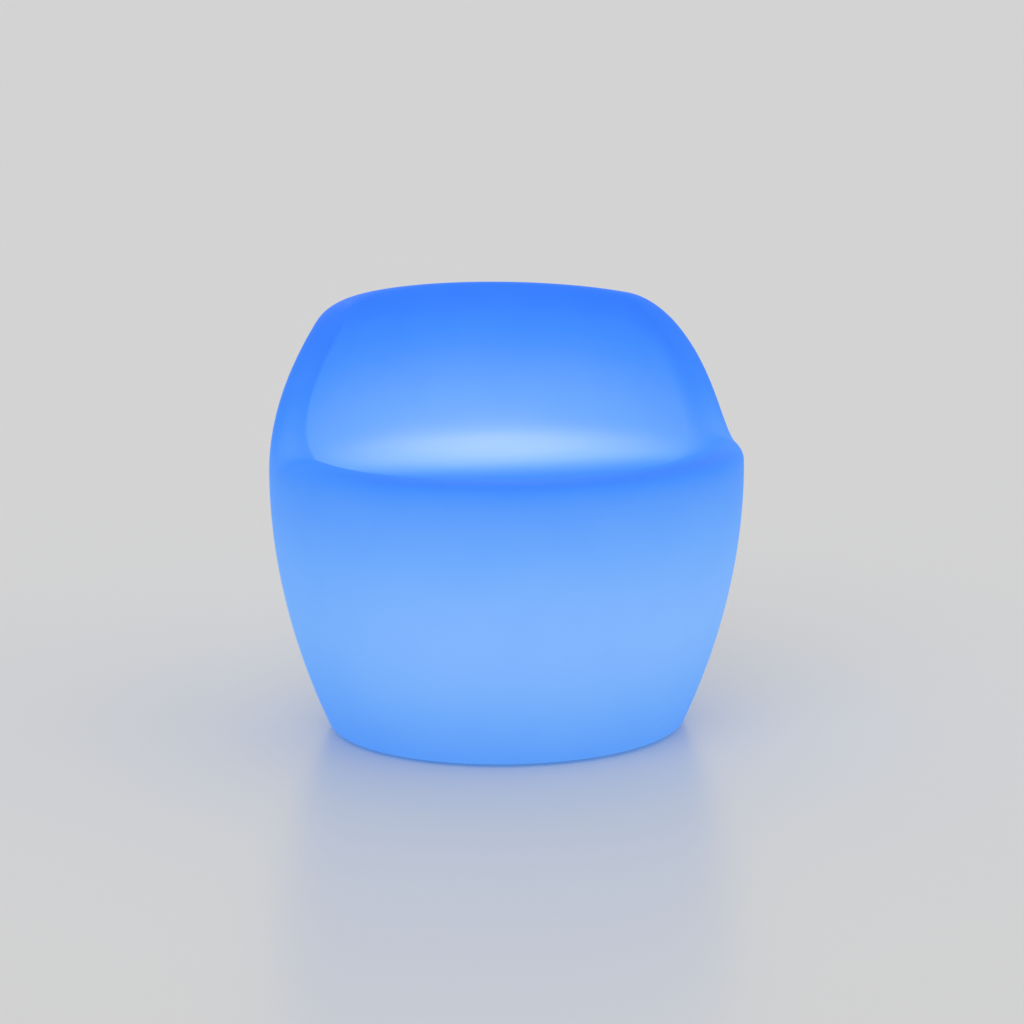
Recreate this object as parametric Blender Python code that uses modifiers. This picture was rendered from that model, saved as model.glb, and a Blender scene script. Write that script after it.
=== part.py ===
"""A light-up tub stool: a hollow moulded shell with a low wrap-around back, lit from inside.

The shell is one rotationally moulded polyethylene body. Its underside has a round recess with a
port in its roof, and a sealed lamp unit screws into that recess from below: a tray with the
battery, the control board and an aluminium plate that carries the light-emitting diodes, under a
frosted dome. The button and the charging socket look down out of the tray, into the recess.

Metres, +Z up, front towards -Y. The origin is on the floor, under the middle of the stool.
"""
import math

import bpy
import bmesh
import numpy as np
from mathutils import Matrix, Vector

# The whole stool
STOOL_WIDTH = 0.540
STOOL_DEPTH = 0.490
STOOL_HEIGHT = 0.480
GIRTH_HEIGHT = 0.297
BASE_WIDTH = 0.404
BASE_DEPTH = 0.368
TOP_WIDTH = 0.402
TOP_DEPTH = 0.486
SHELL_WALL = 0.005
FIT_GAP = 0.0003
CUT_OVERRUN = 0.004
MERGE_DISTANCE = 0.00005

# The seat and the back
SEAT_HEIGHT = 0.326
SEAT_SINK = 0.030
LIP_DROP = 0.005
RIM_WIDTH = 0.034
RIM_ROUND = 0.017
SEAT_FILLET_REACH = 0.050
SEAT_FILLET_HEIGHT = 0.045
WING_START_ANGLE = math.radians(84)
WING_TOP_ANGLE = math.radians(115)
WING_FOOT_REACH = 0.082
WING_TOP_REACH = 0.122
WING_EASE_FRONT = 0.035
WING_EASE_BACK = 0.105
BASE_EDGE_ROUND = 0.006

# The feet
FOOT_STAND = 0.003
FOOT_DIAMETER = 0.030
FOOT_HEIGHT = 0.008
FOOT_SPREAD_X = 0.108
FOOT_SPREAD_Y = 0.100
FOOT_BOSS_DIAMETER = 0.044
FOOT_BOSS_HEIGHT = 0.019
FOOT_SCREW_LENGTH = 0.014
FOOT_SCREW_RECESS = 0.004

# The recess and the port in the underside of the shell
PORT_DIAMETER = 0.150
GASKET_MARGIN = 0.002
GASKET_WIDTH = 0.007
GASKET_THICKNESS = 0.002
INSERT_MARGIN = 0.006
RECESS_MARGIN = 0.010
RECESS_DEPTH = 0.015
RECESS_ROUND = 0.004
INSERT_COUNT = 6
INSERT_DIAMETER = 0.008
INSERT_LENGTH = 0.010
INSERT_BOSS_DIAMETER = 0.015
INSERT_BOSS_CAP = 0.003

# Screws: shank, head, and the hexagon socket in the head
SCREW_DIAMETER = 0.004
SCREW_HEAD_DIAMETER = 0.0075
SCREW_HEAD_HEIGHT = 0.0024
SOCKET_WIDTH = 0.003
SOCKET_DEPTH = 0.0014
TRAY_SCREW_LENGTH = 0.012
SMALL_SCREW_DIAMETER = 0.0025
SMALL_SCREW_HEAD_DIAMETER = 0.0048
SMALL_SCREW_HEAD_HEIGHT = 0.0016
SMALL_SCREW_LENGTH = 0.008

# The tray of the lamp unit
FLANGE_MARGIN = 0.003
TRAY_PLATE = 0.003
CUP_MARGIN = 0.0015
TRAY_CUP_WALL = 0.0045
TRAY_SHOULDER_HEIGHT = 0.0235
TRAY_NECK_HEIGHT = 0.034
PART_ROOM = 0.0015

# The battery
CELL_DIAMETER = 0.0184
CELL_LENGTH = 0.065
CELL_COUNT = 3
CELL_PITCH = 0.0194
CELL_TIP_DIAMETER = 0.0065
CELL_TIP_HEIGHT = 0.0012
CRADLE_FLOOR = 0.002
CRADLE_HEIGHT = 0.010
CRADLE_END_WALL = 0.0022
CRADLE_SIDE = 0.0018
CRADLE_ROOM = 0.0006
STRAP_WIDTH = 0.012
STRAP_THICKNESS = 0.0012

# The control board
BOARD_LENGTH = 0.060
BOARD_WIDTH = 0.036
BOARD_THICKNESS = 0.0016
BOARD_ROOM = 0.013
BOARD_POST_DIAMETER = 0.007
BOARD_SCREW_SPREAD = 0.052
CHIP_WIDTH = 0.010
CHIP_HEIGHT = 0.0016
CHOKE_DIAMETER = 0.009
CHOKE_HEIGHT = 0.006
RECEIVER_LENGTH = 0.014
RECEIVER_WIDTH = 0.008
RECEIVER_HEIGHT = 0.003

# The light
SPREADER_THICKNESS = 0.002
SPREADER_POST_CIRCLE = 0.122
SPREADER_POST_DIAMETER = 0.008
SPREADER_SCREW_COUNT = 3
LED_BOARD_DIAMETER = 0.112
LED_BOARD_THICKNESS = 0.0016
LED_COUNT = 7
LED_CIRCLE = 0.076
LED_WIDTH = 0.005
LED_HEIGHT = 0.0018
DOME_HEIGHT = 0.047
DOME_SKIRT = 0.010
DOME_WALL = 0.002
DOME_SEAL_HEIGHT = 0.0017

# The button, the charging socket with its cover, and the status light
BUTTON_DIAMETER = 0.014
BUTTON_PROUD = 0.003
BUTTON_TRAVEL = 0.0015
BUTTON_FLANGE_DIAMETER = 0.018
BUTTON_FLANGE = 0.0012
COLLAR_DIAMETER = 0.020
COLLAR_PROUD = 0.001
SWITCH_WIDTH = 0.006
SWITCH_HEIGHT = 0.004
PLUNGER_DIAMETER = 0.003
PLUNGER_GRIP = 0.001
JACK_ROOM = 0.006
JACK_OFFSET = 0.004
JACK_THREAD_DIAMETER = 0.011
JACK_FLANGE_DIAMETER = 0.014
JACK_FLANGE = 0.002
JACK_LENGTH = 0.014
JACK_BORE_DIAMETER = 0.0064
JACK_BORE_DEPTH = 0.009
JACK_PIN_DIAMETER = 0.002
JACK_PIN_RECESS = 0.0035
NUT_WIDTH = 0.0145
NUT_HEIGHT = 0.0025
COVER_DIAMETER = 0.014
COVER_THICKNESS = 0.002
COVER_ARM = 0.016
COVER_SWING = math.radians(100)
PIVOT_DIAMETER = 0.0036
PIVOT_HEAD_DIAMETER = 0.007
PIVOT_HEAD_HEIGHT = 0.0015
STOP_DIAMETER = 0.003
STOP_CIRCLE = 0.024
LENS_ROOM = 0.007
LENS_DIAMETER = 0.005
LENS_FLANGE_DIAMETER = 0.008
LENS_FLANGE = 0.001
LENS_PROUD = 0.0006

# The leads
LEAD_DIAMETER = 0.0024
LEAD_TAIL = 0.004

# How finely the shell is laid out, and how many sides and steps round pieces have
HALF_COLUMNS = 22
WALL_ROWS = 7
NOSE_ROWS = 3
BOWL_ROWS = 11
SEAT_ROWS = 3
EDGE_ROWS = 3
CLIMB_STEPS = 200
WIDE_SIDES = 32
ROUND_SIDES = 16
SMALL_SIDES = 8
DOME_STEPS = 5
COVER_STEPS = 8
LEAD_STEPS = 3

# Shares that shape the shell
BARREL_POWER_SHARE = 2.0
CROWD_SHARE = 2.0
CROWD_WIDTH_SHARE = 0.5
BOWL_INSET_SHARES = (0.25, 0.45, 0.65, 0.82)
SEAT_RING_SHARES = (0.75, 0.5)
RIM_CORNER_SHARE = 0.92
RIM_ROLL_SHARE = 2.0
FOOT_CORNER_SHARE = 0.1

# Widths and places that follow from the sizes above
GASKET_INNER_DIAMETER = PORT_DIAMETER + 2 * GASKET_MARGIN
GASKET_OUTER_DIAMETER = GASKET_INNER_DIAMETER + 2 * GASKET_WIDTH
INSERT_CIRCLE = GASKET_OUTER_DIAMETER + 2 * INSERT_MARGIN
RECESS_DIAMETER = INSERT_CIRCLE + 2 * RECESS_MARGIN
TRAY_FLANGE_DIAMETER = RECESS_DIAMETER - 2 * FLANGE_MARGIN
TRAY_CUP_DIAMETER = PORT_DIAMETER - 2 * CUP_MARGIN
TRAY_NECK_DIAMETER = TRAY_CUP_DIAMETER - 2 * DOME_WALL - 2 * FIT_GAP
CRADLE_HALF_LENGTH = CELL_LENGTH / 2 + FIT_GAP + CRADLE_END_WALL
CRADLE_HALF_WIDTH = (CELL_PITCH * (CELL_COUNT - 1) + CELL_DIAMETER) / 2 + FIT_GAP + CRADLE_SIDE
CRADLE_REACH = TRAY_CUP_DIAMETER / 2 - TRAY_CUP_WALL - CRADLE_ROOM
BATTERY_Y = math.sqrt(CRADLE_REACH ** 2 - CRADLE_HALF_LENGTH ** 2) - CRADLE_HALF_WIDTH
BOARD_Y = BATTERY_Y - CRADLE_HALF_WIDTH - BOARD_ROOM - BOARD_WIDTH / 2
BUTTON_X = (BOARD_POST_DIAMETER + COLLAR_DIAMETER - BOARD_SCREW_SPREAD) / 2 + PART_ROOM
LENS_X = BUTTON_X + (COLLAR_DIAMETER + LENS_FLANGE_DIAMETER) / 2 + LENS_ROOM
JACK_X = (BOARD_LENGTH + NUT_WIDTH) / 2 + JACK_ROOM
JACK_Y = BOARD_Y + JACK_OFFSET

# Heights that follow from the sizes above
BASE_Z = FOOT_STAND
RECESS_Z = BASE_Z + RECESS_DEPTH
GASKET_TOP_Z = RECESS_Z - FIT_GAP
TRAY_TOP_Z = GASKET_TOP_Z - GASKET_THICKNESS - FIT_GAP
TRAY_BOTTOM_Z = TRAY_TOP_Z - TRAY_PLATE
SHOULDER_Z = TRAY_BOTTOM_Z + TRAY_SHOULDER_HEIGHT
NECK_Z = TRAY_BOTTOM_Z + TRAY_NECK_HEIGHT
BUTTON_TOP_Z = TRAY_TOP_Z + FIT_GAP + BUTTON_FLANGE
SWITCH_Z = BUTTON_TOP_Z + BUTTON_TRAVEL + FIT_GAP
BOARD_Z = SWITCH_Z + SWITCH_HEIGHT + FIT_GAP
BOARD_TOP_Z = BOARD_Z + BOARD_THICKNESS
SPREADER_Z = NECK_Z + FIT_GAP
SPREADER_TOP_Z = SPREADER_Z + SPREADER_THICKNESS
LED_BOARD_Z = SPREADER_TOP_Z + FIT_GAP
DOME_Z = SHOULDER_Z + DOME_SEAL_HEIGHT + 2 * FIT_GAP
CELL_AXIS_Z = TRAY_TOP_Z + FIT_GAP + CRADLE_FLOOR + FIT_GAP + CELL_DIAMETER / 2
INSERT_ANGLES = [math.radians(30) + math.tau * turn / INSERT_COUNT for turn in range(INSERT_COUNT)]
POST_ANGLES = [math.radians(30) + math.tau * turn / SPREADER_SCREW_COUNT
               for turn in range(SPREADER_SCREW_COUNT)]


# Blender housekeeping

for old in list(bpy.data.objects):
    bpy.data.objects.remove(old, do_unlink=True)

PARTS = bpy.data.collections.new("light_up_stool")
CUTTERS = bpy.data.collections.new("cutters")
bpy.context.scene.collection.children.link(PARTS)
bpy.context.scene.collection.children.link(CUTTERS)


def finish(name, colour, roughness, metallic=0.0):
    """A plain Principled material."""
    made = bpy.data.materials.new(name)
    made.use_nodes = True
    shader = made.node_tree.nodes["Principled BSDF"]
    shader.inputs["Base Color"].default_value = (*colour, 1)
    shader.inputs["Roughness"].default_value = roughness
    shader.inputs["Metallic"].default_value = metallic
    made.diffuse_color = (*colour, 1)
    return made


def add(name, mesh, material=None, smooth_angle=30):
    """Puts a mesh into the scene: as a piece with its material, or as a hidden cutter."""
    piece = bpy.data.objects.new(name, mesh)
    if material is None:
        CUTTERS.objects.link(piece)
        piece.hide_render = True
        piece.display_type = "WIRE"
    else:
        PARTS.objects.link(piece)
        mesh.materials.append(finish(name + "_" + material[0], *material[1:]))
        mesh.shade_smooth()
        mesh.set_sharp_from_angle(angle=math.radians(smooth_angle))
    return piece


def solids(name, build, material=None):
    """A mesh of primitives: build fills the bmesh that it is handed."""
    mesh = bpy.data.meshes.new(name)
    grid = bmesh.new()
    build(grid)
    grid.to_mesh(mesh)
    grid.free()
    return add(name, mesh, material)


def cylinder(grid, diameter, low, high, x=0, y=0, sides=ROUND_SIDES, turn=0):
    """Adds an upright cylinder between two heights to a bmesh."""
    place = Matrix.Translation((x, y, (low + high) / 2)) @ Matrix.Rotation(turn, 4, "Z")
    bmesh.ops.create_cone(grid, cap_ends=True, segments=sides, radius1=diameter / 2,
                          radius2=diameter / 2, depth=high - low, matrix=place)


def box(grid, low, high):
    """Adds a box between two opposite corners to a bmesh."""
    low, high = Vector(low), Vector(high)
    size = high - low
    place = Matrix.Translation((low + high) / 2) @ Matrix.Diagonal((*size, 1))
    bmesh.ops.create_cube(grid, size=1, matrix=place)


def turned(name, profile, material, x=0, y=0, sides=ROUND_SIDES, closed=False):
    """A lathe shape. The profile is (radius, height) pairs that run down the outer side."""
    mesh = bpy.data.meshes.new(name)
    count = len(profile)
    edges = [(i, (i + 1) % count) for i in range(count if closed else count - 1)]
    mesh.from_pydata([(radius, 0, height) for radius, height in profile], edges, [])
    piece = add(name, mesh, material)
    piece.location = (x, y, 0)
    screw = piece.modifiers.new("lathe", "SCREW")
    screw.axis = "Z"
    screw.angle = math.tau
    screw.steps = screw.render_steps = sides
    screw.use_merge_vertices = True
    screw.merge_threshold = MERGE_DISTANCE
    screw.use_smooth_shade = True
    return piece


def ring(name, outer, inner, low, high, material, x=0, y=0, sides=ROUND_SIDES):
    """A flat ring of rectangular section."""
    profile = [(outer / 2, high), (outer / 2, low), (inner / 2, low), (inner / 2, high)]
    return turned(name, profile, material, x, y, sides, closed=True)


def boolean(piece, tool, operation="DIFFERENCE"):
    """Cuts a tool out of a piece, or joins it on."""
    step = piece.modifiers.new(tool.name, "BOOLEAN")
    step.operation = operation
    step.solver = "EXACT"
    step.object = tool
    return step


def around(diameter, angles):
    """Places on a circle about the stool's axis."""
    return [(diameter / 2 * math.cos(angle), diameter / 2 * math.sin(angle)) for angle in angles]


def cylinders(name, places, diameter, low, high, sides=ROUND_SIDES, turn=0):
    """A hidden tool of equal upright cylinders, one at each place."""
    def build(grid):
        for x, y in places:
            cylinder(grid, diameter, low, high, x, y, sides, turn)
    return solids(name, build)


# The materials: name, colour, roughness, metallic

POLYETHYLENE = ("polyethylene", (0.16, 0.40, 0.95), 0.45)
RUBBER = ("rubber", (0.03, 0.03, 0.035), 0.85)
SILICONE = ("silicone", (0.72, 0.72, 0.70), 0.65)
STEEL = ("steel", (0.62, 0.62, 0.60), 0.30, 1.0)
BRASS = ("brass", (0.72, 0.52, 0.24), 0.35, 1.0)
ALUMINIUM = ("aluminium", (0.80, 0.81, 0.82), 0.35, 1.0)
TRAY_PLASTIC = ("plastic", (0.80, 0.80, 0.78), 0.50)
DARK_PLASTIC = ("plastic", (0.04, 0.04, 0.045), 0.50)
CELL_WRAP = ("wrap", (0.05, 0.28, 0.16), 0.40)
BOARD_LAMINATE = ("laminate", (0.02, 0.20, 0.08), 0.45)
WHITE_LAMINATE = ("laminate", (0.85, 0.85, 0.82), 0.45)
LED_BODY = ("resin", (0.75, 0.82, 0.95), 0.30)
DIFFUSER = ("diffuser", (0.78, 0.84, 0.95), 0.40)
CLEAR_PLASTIC = ("clear_plastic", (0.80, 0.85, 0.85), 0.10)
LEAD_SHEATH = ("sheath", (0.50, 0.03, 0.03), 0.50)


# The shell

def smooth(share):
    """Eases from 0 to 1 with level ends."""
    share = np.clip(share, 0, 1)
    return share * share * (3 - 2 * share)


def blend(start, stop, share):
    return start + (stop - start) * share


def barrel_size(base, girth, top, height):
    """Half the barrel's width or depth at a height: it draws in below and above its girth."""
    below = np.clip((GIRTH_HEIGHT - height) / GIRTH_HEIGHT, 0, 1) ** BARREL_POWER_SHARE
    above = np.clip((height - GIRTH_HEIGHT) / (STOOL_HEIGHT - GIRTH_HEIGHT), 0, 1) ** BARREL_POWER_SHARE
    return (girth - (girth - base) * below - (girth - top) * above) / 2


def on_barrel(angle, height, inset):
    """Points of the barrel: an ellipse at each height, moved inwards by the inset.
    The angle runs from the middle of the front to the middle of the back."""
    angle, height, inset = np.broadcast_arrays(angle, height, inset)
    side = barrel_size(BASE_WIDTH, STOOL_WIDTH, TOP_WIDTH, height) - inset
    depth = barrel_size(BASE_DEPTH, STOOL_DEPTH, TOP_DEPTH, height) - inset
    return np.stack([side * np.sin(angle), -depth * np.cos(angle), height], axis=-1)


def on_circle(angle, height, radius):
    """Points of a level circle about the stool's axis."""
    angle, height = np.broadcast_arrays(angle, height)
    return np.stack([radius * np.sin(angle), -radius * np.cos(angle), height], axis=-1)


def rim_line(count):
    """The rim from the middle of the front to the middle of the back, with the barrel unrolled.

    It runs level at the seat's height, climbs one cubic Bezier curve up the edge of the wing and
    runs level along the top. Its columns crowd together on that climb. Returns each column's
    distance round the barrel, its height, its outward normal there, and the length of rim
    between it and the start of the climb.
    """
    girth = (STOOL_WIDTH + STOOL_DEPTH) / 4
    start, stop, end = WING_START_ANGLE * girth, WING_TOP_ANGLE * girth, math.pi * girth
    handles = np.array([(start, SEAT_HEIGHT), (start + WING_FOOT_REACH, SEAT_HEIGHT),
                        (stop - WING_TOP_REACH, STOOL_HEIGHT), (stop, STOOL_HEIGHT)])
    share = np.linspace(0, 1, CLIMB_STEPS)[:, None]
    climb = ((1 - share) ** 3 * handles[0] + 3 * (1 - share) ** 2 * share * handles[1]
             + 3 * (1 - share) * share ** 2 * handles[2] + share ** 3 * handles[3])
    front = blend(np.array([0, SEAT_HEIGHT]), handles[0], share)
    back = blend(handles[3], np.array([end, STOOL_HEIGHT]), share)
    line = np.concatenate([front[:-1], climb, back[1:]])
    steps = np.linalg.norm(np.diff(line, axis=0), axis=1)
    length = np.concatenate([[0], np.cumsum(steps)])
    middle = length[len(front) + len(climb) // 2]
    width = CROWD_WIDTH_SHARE * (length[len(front) + len(climb) - 2] - length[len(front) - 1])
    crowd = 1 + CROWD_SHARE * np.exp(-((length - middle) / width) ** 2)
    station = np.concatenate([[0], np.cumsum(steps * (crowd[1:] + crowd[:-1]) / 2)])
    wanted = np.linspace(0, station[-1], count)
    tangent = np.gradient(line, length, axis=0)
    along, height = (np.interp(wanted, station, line[:, k]) for k in (0, 1))
    right, up = (np.interp(wanted, station, tangent[:, k]) for k in (0, 1))
    scale = np.hypot(right, up)
    past = np.interp(wanted, station, length) - length[len(front) - 1]
    return along / girth, height, -up / scale / girth, right / scale, past


def dish(x, y):
    """The seat's height at a place: just under the lip in front, sunk towards the back."""
    front = STOOL_DEPTH / 2 - RIM_WIDTH
    reach = STOOL_DEPTH - 2 * RIM_WIDTH - SEAT_FILLET_REACH
    return SEAT_HEIGHT - LIP_DROP - SEAT_SINK * smooth((front + y) / reach)


def spline_rows(rings, count):
    """Rows of a uniform cubic B-spline whose control points are the rings, down every column."""
    rings = np.concatenate([2 * rings[:1] - rings[1:2], rings, 2 * rings[-1:] - rings[-2:-1]])
    place = np.linspace(0, len(rings) - 3, count)
    first = np.minimum(place.astype(int), len(rings) - 4)
    share = (place - first)[:, None, None]
    return ((1 - share) ** 3 * rings[first]
            + (3 * share ** 3 - 6 * share ** 2 + 4) * rings[first + 1]
            + (-3 * share ** 3 + 3 * share ** 2 + 3 * share + 1) * rings[first + 2]
            + share ** 3 * rings[first + 3]) / 6


def underside_rows(even):
    """From the port's edge over the recess roof and wall and the flat base to the outer edge."""
    radius, round_ = RECESS_DIAMETER / 2, RECESS_ROUND
    rows = [on_circle(even, RECESS_Z, PORT_DIAMETER / 2)]
    for turn in np.linspace(0, math.pi / 2, EDGE_ROWS):
        rows.append(on_circle(even, RECESS_Z - round_ * (1 - math.cos(turn)),
                              radius - round_ * (1 - math.sin(turn))))
    for turn in np.linspace(0, math.pi / 2, EDGE_ROWS):
        rows.append(on_circle(even, BASE_Z + round_ * (1 - math.sin(turn)),
                              radius + round_ * (1 - math.cos(turn))))
    for turn in np.linspace(0, math.pi / 2, EDGE_ROWS)[:-1]:
        rows.append(on_barrel(even, BASE_Z + BASE_EDGE_ROUND * (1 - math.cos(turn)),
                              BASE_EDGE_ROUND * (1 - math.sin(turn))))
    return rows


def skin_rows(count):
    """The outer skin of the right half as rows of columns, from the port to the seat's middle.

    The wall rises up the barrel while its columns fan out from even angles to those of the rim.
    The rim's nose is a quarter of an ellipse on the outside. Inside, every column is a B-spline
    over the crest of the rim, down the bowl's wall, round its foot and out over the seat; in
    front, where there is no wall, the same rings lie along the lip.
    """
    angle, height, lean, rise, past = rim_line(count)
    even = np.linspace(0, math.pi, count)
    rows = underside_rows(even)
    outer_angle, outer_height = angle - RIM_ROUND * lean, height - RIM_ROUND * rise
    for share in np.linspace(0, 1, WALL_ROWS):
        rows.append(on_barrel(blend(even, outer_angle, smooth(share)),
                              blend(BASE_Z + BASE_EDGE_ROUND, outer_height, share), 0))
    for turn in np.linspace(0, math.pi / 2, NOSE_ROWS + 1)[1:]:
        back = RIM_ROUND * (1 - math.sin(turn))
        rows.append(on_barrel(angle - back * lean, height - back * rise,
                              RIM_WIDTH / 2 * (1 - math.cos(turn))))

    wing = smooth((past + WING_EASE_FRONT) / (WING_EASE_FRONT + WING_EASE_BACK))
    first = np.argmax(past > 0)
    behind = np.clip((np.arange(count) - first) / (count - 1 - first), 0, 1)
    foot = np.where(past > 0, blend(angle[first], math.pi, behind), angle)
    inset = RIM_WIDTH + SEAT_FILLET_REACH
    edge = on_barrel(foot, SEAT_HEIGHT, inset)
    floor = dish(edge[:, 0], edge[:, 1])
    fillet = np.minimum(SEAT_FILLET_HEIGHT, (height - floor) / 2)
    roll_angle = angle - RIM_ROLL_SHARE * RIM_ROUND * lean * wing
    roll_height = height - RIM_ROLL_SHARE * RIM_ROUND * rise * wing
    wall = [(roll_angle, roll_height, 0),
            (blend(roll_angle, foot, 1 / 2), blend(roll_height, floor + fillet, 1 / 2), 0),
            (foot, floor + fillet, 0),
            (foot, floor, FOOT_CORNER_SHARE * SEAT_FILLET_REACH)]
    rings = [on_barrel(angle, height, RIM_WIDTH / 2),
             on_barrel(angle, height, RIM_WIDTH * RIM_CORNER_SHARE)]
    for (ring_angle, ring_height, ring_inset), share in zip(wall, BOWL_INSET_SHARES):
        lip_height = floor + (height - floor) * (1 - smooth(share))
        rings.append(on_barrel(ring_angle, blend(lip_height, ring_height, wing),
                               RIM_WIDTH + blend(SEAT_FILLET_REACH * share, ring_inset, wing)))
    rings.append(on_barrel(foot, floor, inset))
    for share in SEAT_RING_SHARES:
        x, y = share * rings[-1][:, 0], share * rings[-1][:, 1]
        rings.append(np.stack([x, y, dish(x, y)], axis=-1))
    rows.extend(spline_rows(np.array(rings), BOWL_ROWS)[1:])

    last = rows[-1]
    lift = last[:, 2] - dish(last[:, 0], last[:, 1])
    for share in np.linspace(1, 0, SEAT_ROWS + 1)[1:-1]:
        x, y = share * last[:, 0], share * last[:, 1]
        rows.append(np.stack([x, y, dish(x, y) + lift * share ** 2], axis=-1))
    return np.array(rows)


def build_shell():
    """The one-piece moulded body, its bosses, and the pockets for feet and inserts."""
    rows = skin_rows(HALF_COLUMNS + 1)
    row_count, columns = rows.shape[:2]
    points = rows.reshape(-1, 3)
    points[np.abs(points[:, 0]) < MERGE_DISTANCE, 0] = 0
    middle = len(points)
    number = np.arange(middle).reshape(row_count, columns)
    quads = np.stack([number[:-1, :-1], number[:-1, 1:], number[1:, 1:], number[1:, :-1]], axis=-1)
    faces = quads.reshape(-1, 4).tolist()
    faces += [(a, b, middle) for a, b in zip(number[-1, :-1].tolist(), number[-1, 1:].tolist())]
    mesh = bpy.data.meshes.new("shell")
    mesh.from_pydata([*points.tolist(), (0, 0, dish(0, 0))], [], faces)
    shell = add("shell", mesh, POLYETHYLENE)

    mirror = shell.modifiers.new("other_half", "MIRROR")
    mirror.use_clip = True
    mirror.merge_threshold = MERGE_DISTANCE
    wall = shell.modifiers.new("wall", "SOLIDIFY")
    wall.thickness = SHELL_WALL
    wall.offset = -1
    wall.use_even_offset = True
    wall.use_rim = True

    half = SHELL_WALL / 2
    feet = foot_places()
    inserts = around(INSERT_CIRCLE, INSERT_ANGLES)
    foot_top = FOOT_HEIGHT + FIT_GAP
    insert_top = RECESS_Z + INSERT_LENGTH + FIT_GAP
    boss = cylinders("foot_bosses", feet, FOOT_BOSS_DIAMETER, BASE_Z + half,
                     BASE_Z + FOOT_BOSS_HEIGHT)
    boolean(shell, boss, "UNION")
    boss = cylinders("insert_bosses", inserts, INSERT_BOSS_DIAMETER, RECESS_Z + half,
                     insert_top + INSERT_BOSS_CAP)
    boolean(shell, boss, "UNION")
    boolean(shell, cylinders("foot_pockets", feet, FOOT_DIAMETER + 2 * FIT_GAP,
                             BASE_Z - CUT_OVERRUN, foot_top))
    boolean(shell, cylinders("foot_pilots", feet, SCREW_DIAMETER + 2 * FIT_GAP,
                             foot_top - CUT_OVERRUN, FOOT_SCREW_RECESS + FOOT_SCREW_LENGTH,
                             SMALL_SIDES))
    boolean(shell, cylinders("insert_pockets", inserts, INSERT_DIAMETER + 2 * FIT_GAP,
                             RECESS_Z - CUT_OVERRUN, insert_top, SMALL_SIDES))
    return shell


# Feet, inserts and screws

def foot_places():
    return [(x * FOOT_SPREAD_X, y * FOOT_SPREAD_Y) for x, y in ((-1, -1), (1, -1), (1, 1), (-1, 1))]


def screw(name, x, y, seat_z, length, direction, small=False):
    """A screw with a domed head, and a hexagon socket unless it is a small one.
    Its head sits against seat_z and its shank points along direction, up or down."""
    shank = (SMALL_SCREW_DIAMETER if small else SCREW_DIAMETER) / 2
    head = (SMALL_SCREW_HEAD_DIAMETER if small else SCREW_HEAD_DIAMETER) / 2
    tall = SMALL_SCREW_HEAD_HEIGHT if small else SCREW_HEAD_HEIGHT
    seat_z -= direction * FIT_GAP
    top = seat_z - direction * tall
    profile = [(0, top), (head * 3 / 4, top), (head, top + direction * tall / 2), (head, seat_z),
               (shank, seat_z), (shank, seat_z + direction * (length - shank)),
               (shank / 2, seat_z + direction * length), (0, seat_z + direction * length)]
    if direction > 0:
        profile.reverse()
    piece = turned(name, profile, STEEL, x, y, SMALL_SIDES)
    if not small:
        low, high = sorted((top - direction * CUT_OVERRUN, top + direction * SOCKET_DEPTH))
        boolean(piece, cylinders(name + "_socket", [(x, y)], SOCKET_WIDTH, low, high, 6))
    return piece


def build_feet():
    """Four rubber feet, each pressed into its pocket and held by a screw from below."""
    for number, (x, y) in enumerate(foot_places(), 1):
        radius, edge = FOOT_DIAMETER / 2, FOOT_STAND / 2
        hole = SCREW_DIAMETER / 2 + FIT_GAP
        bore = SCREW_HEAD_DIAMETER / 2 + 2 * FIT_GAP
        profile = [(radius, FOOT_HEIGHT), (radius, edge), (radius - edge, 0), (bore, 0),
                   (bore, FOOT_SCREW_RECESS), (hole, FOOT_SCREW_RECESS), (hole, FOOT_HEIGHT)]
        turned(f"foot_{number}", profile, RUBBER, x, y, closed=True)
        screw(f"foot_screw_{number}", x, y, FOOT_SCREW_RECESS, FOOT_SCREW_LENGTH - FIT_GAP, 1)


def build_inserts():
    """Six threaded brass inserts that the moulding grips; the tray screws turn into them."""
    for number, (x, y) in enumerate(around(INSERT_CIRCLE, INSERT_ANGLES), 1):
        ring(f"threaded_insert_{number}", INSERT_DIAMETER, SCREW_DIAMETER + 2 * FIT_GAP,
             RECESS_Z, RECESS_Z + INSERT_LENGTH, BRASS, x, y, SMALL_SIDES)
        screw(f"tray_screw_{number}", x, y, TRAY_BOTTOM_Z, TRAY_SCREW_LENGTH, 1)


# The lamp unit

def pivot_place():
    return JACK_X, JACK_Y + COVER_ARM


def stop_places():
    """Two pegs that the arm of the socket's cover meets at the ends of its swing."""
    x, y = pivot_place()
    clear = (COVER_DIAMETER + STOP_DIAMETER) / 2 + FIT_GAP
    ahead = math.asin(clear / (STOP_CIRCLE / 2))
    arm = -math.pi / 2
    return [(x + STOP_CIRCLE / 2 * math.cos(turn), y + STOP_CIRCLE / 2 * math.sin(turn))
            for turn in (arm - ahead, arm + COVER_SWING + ahead)]


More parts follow.
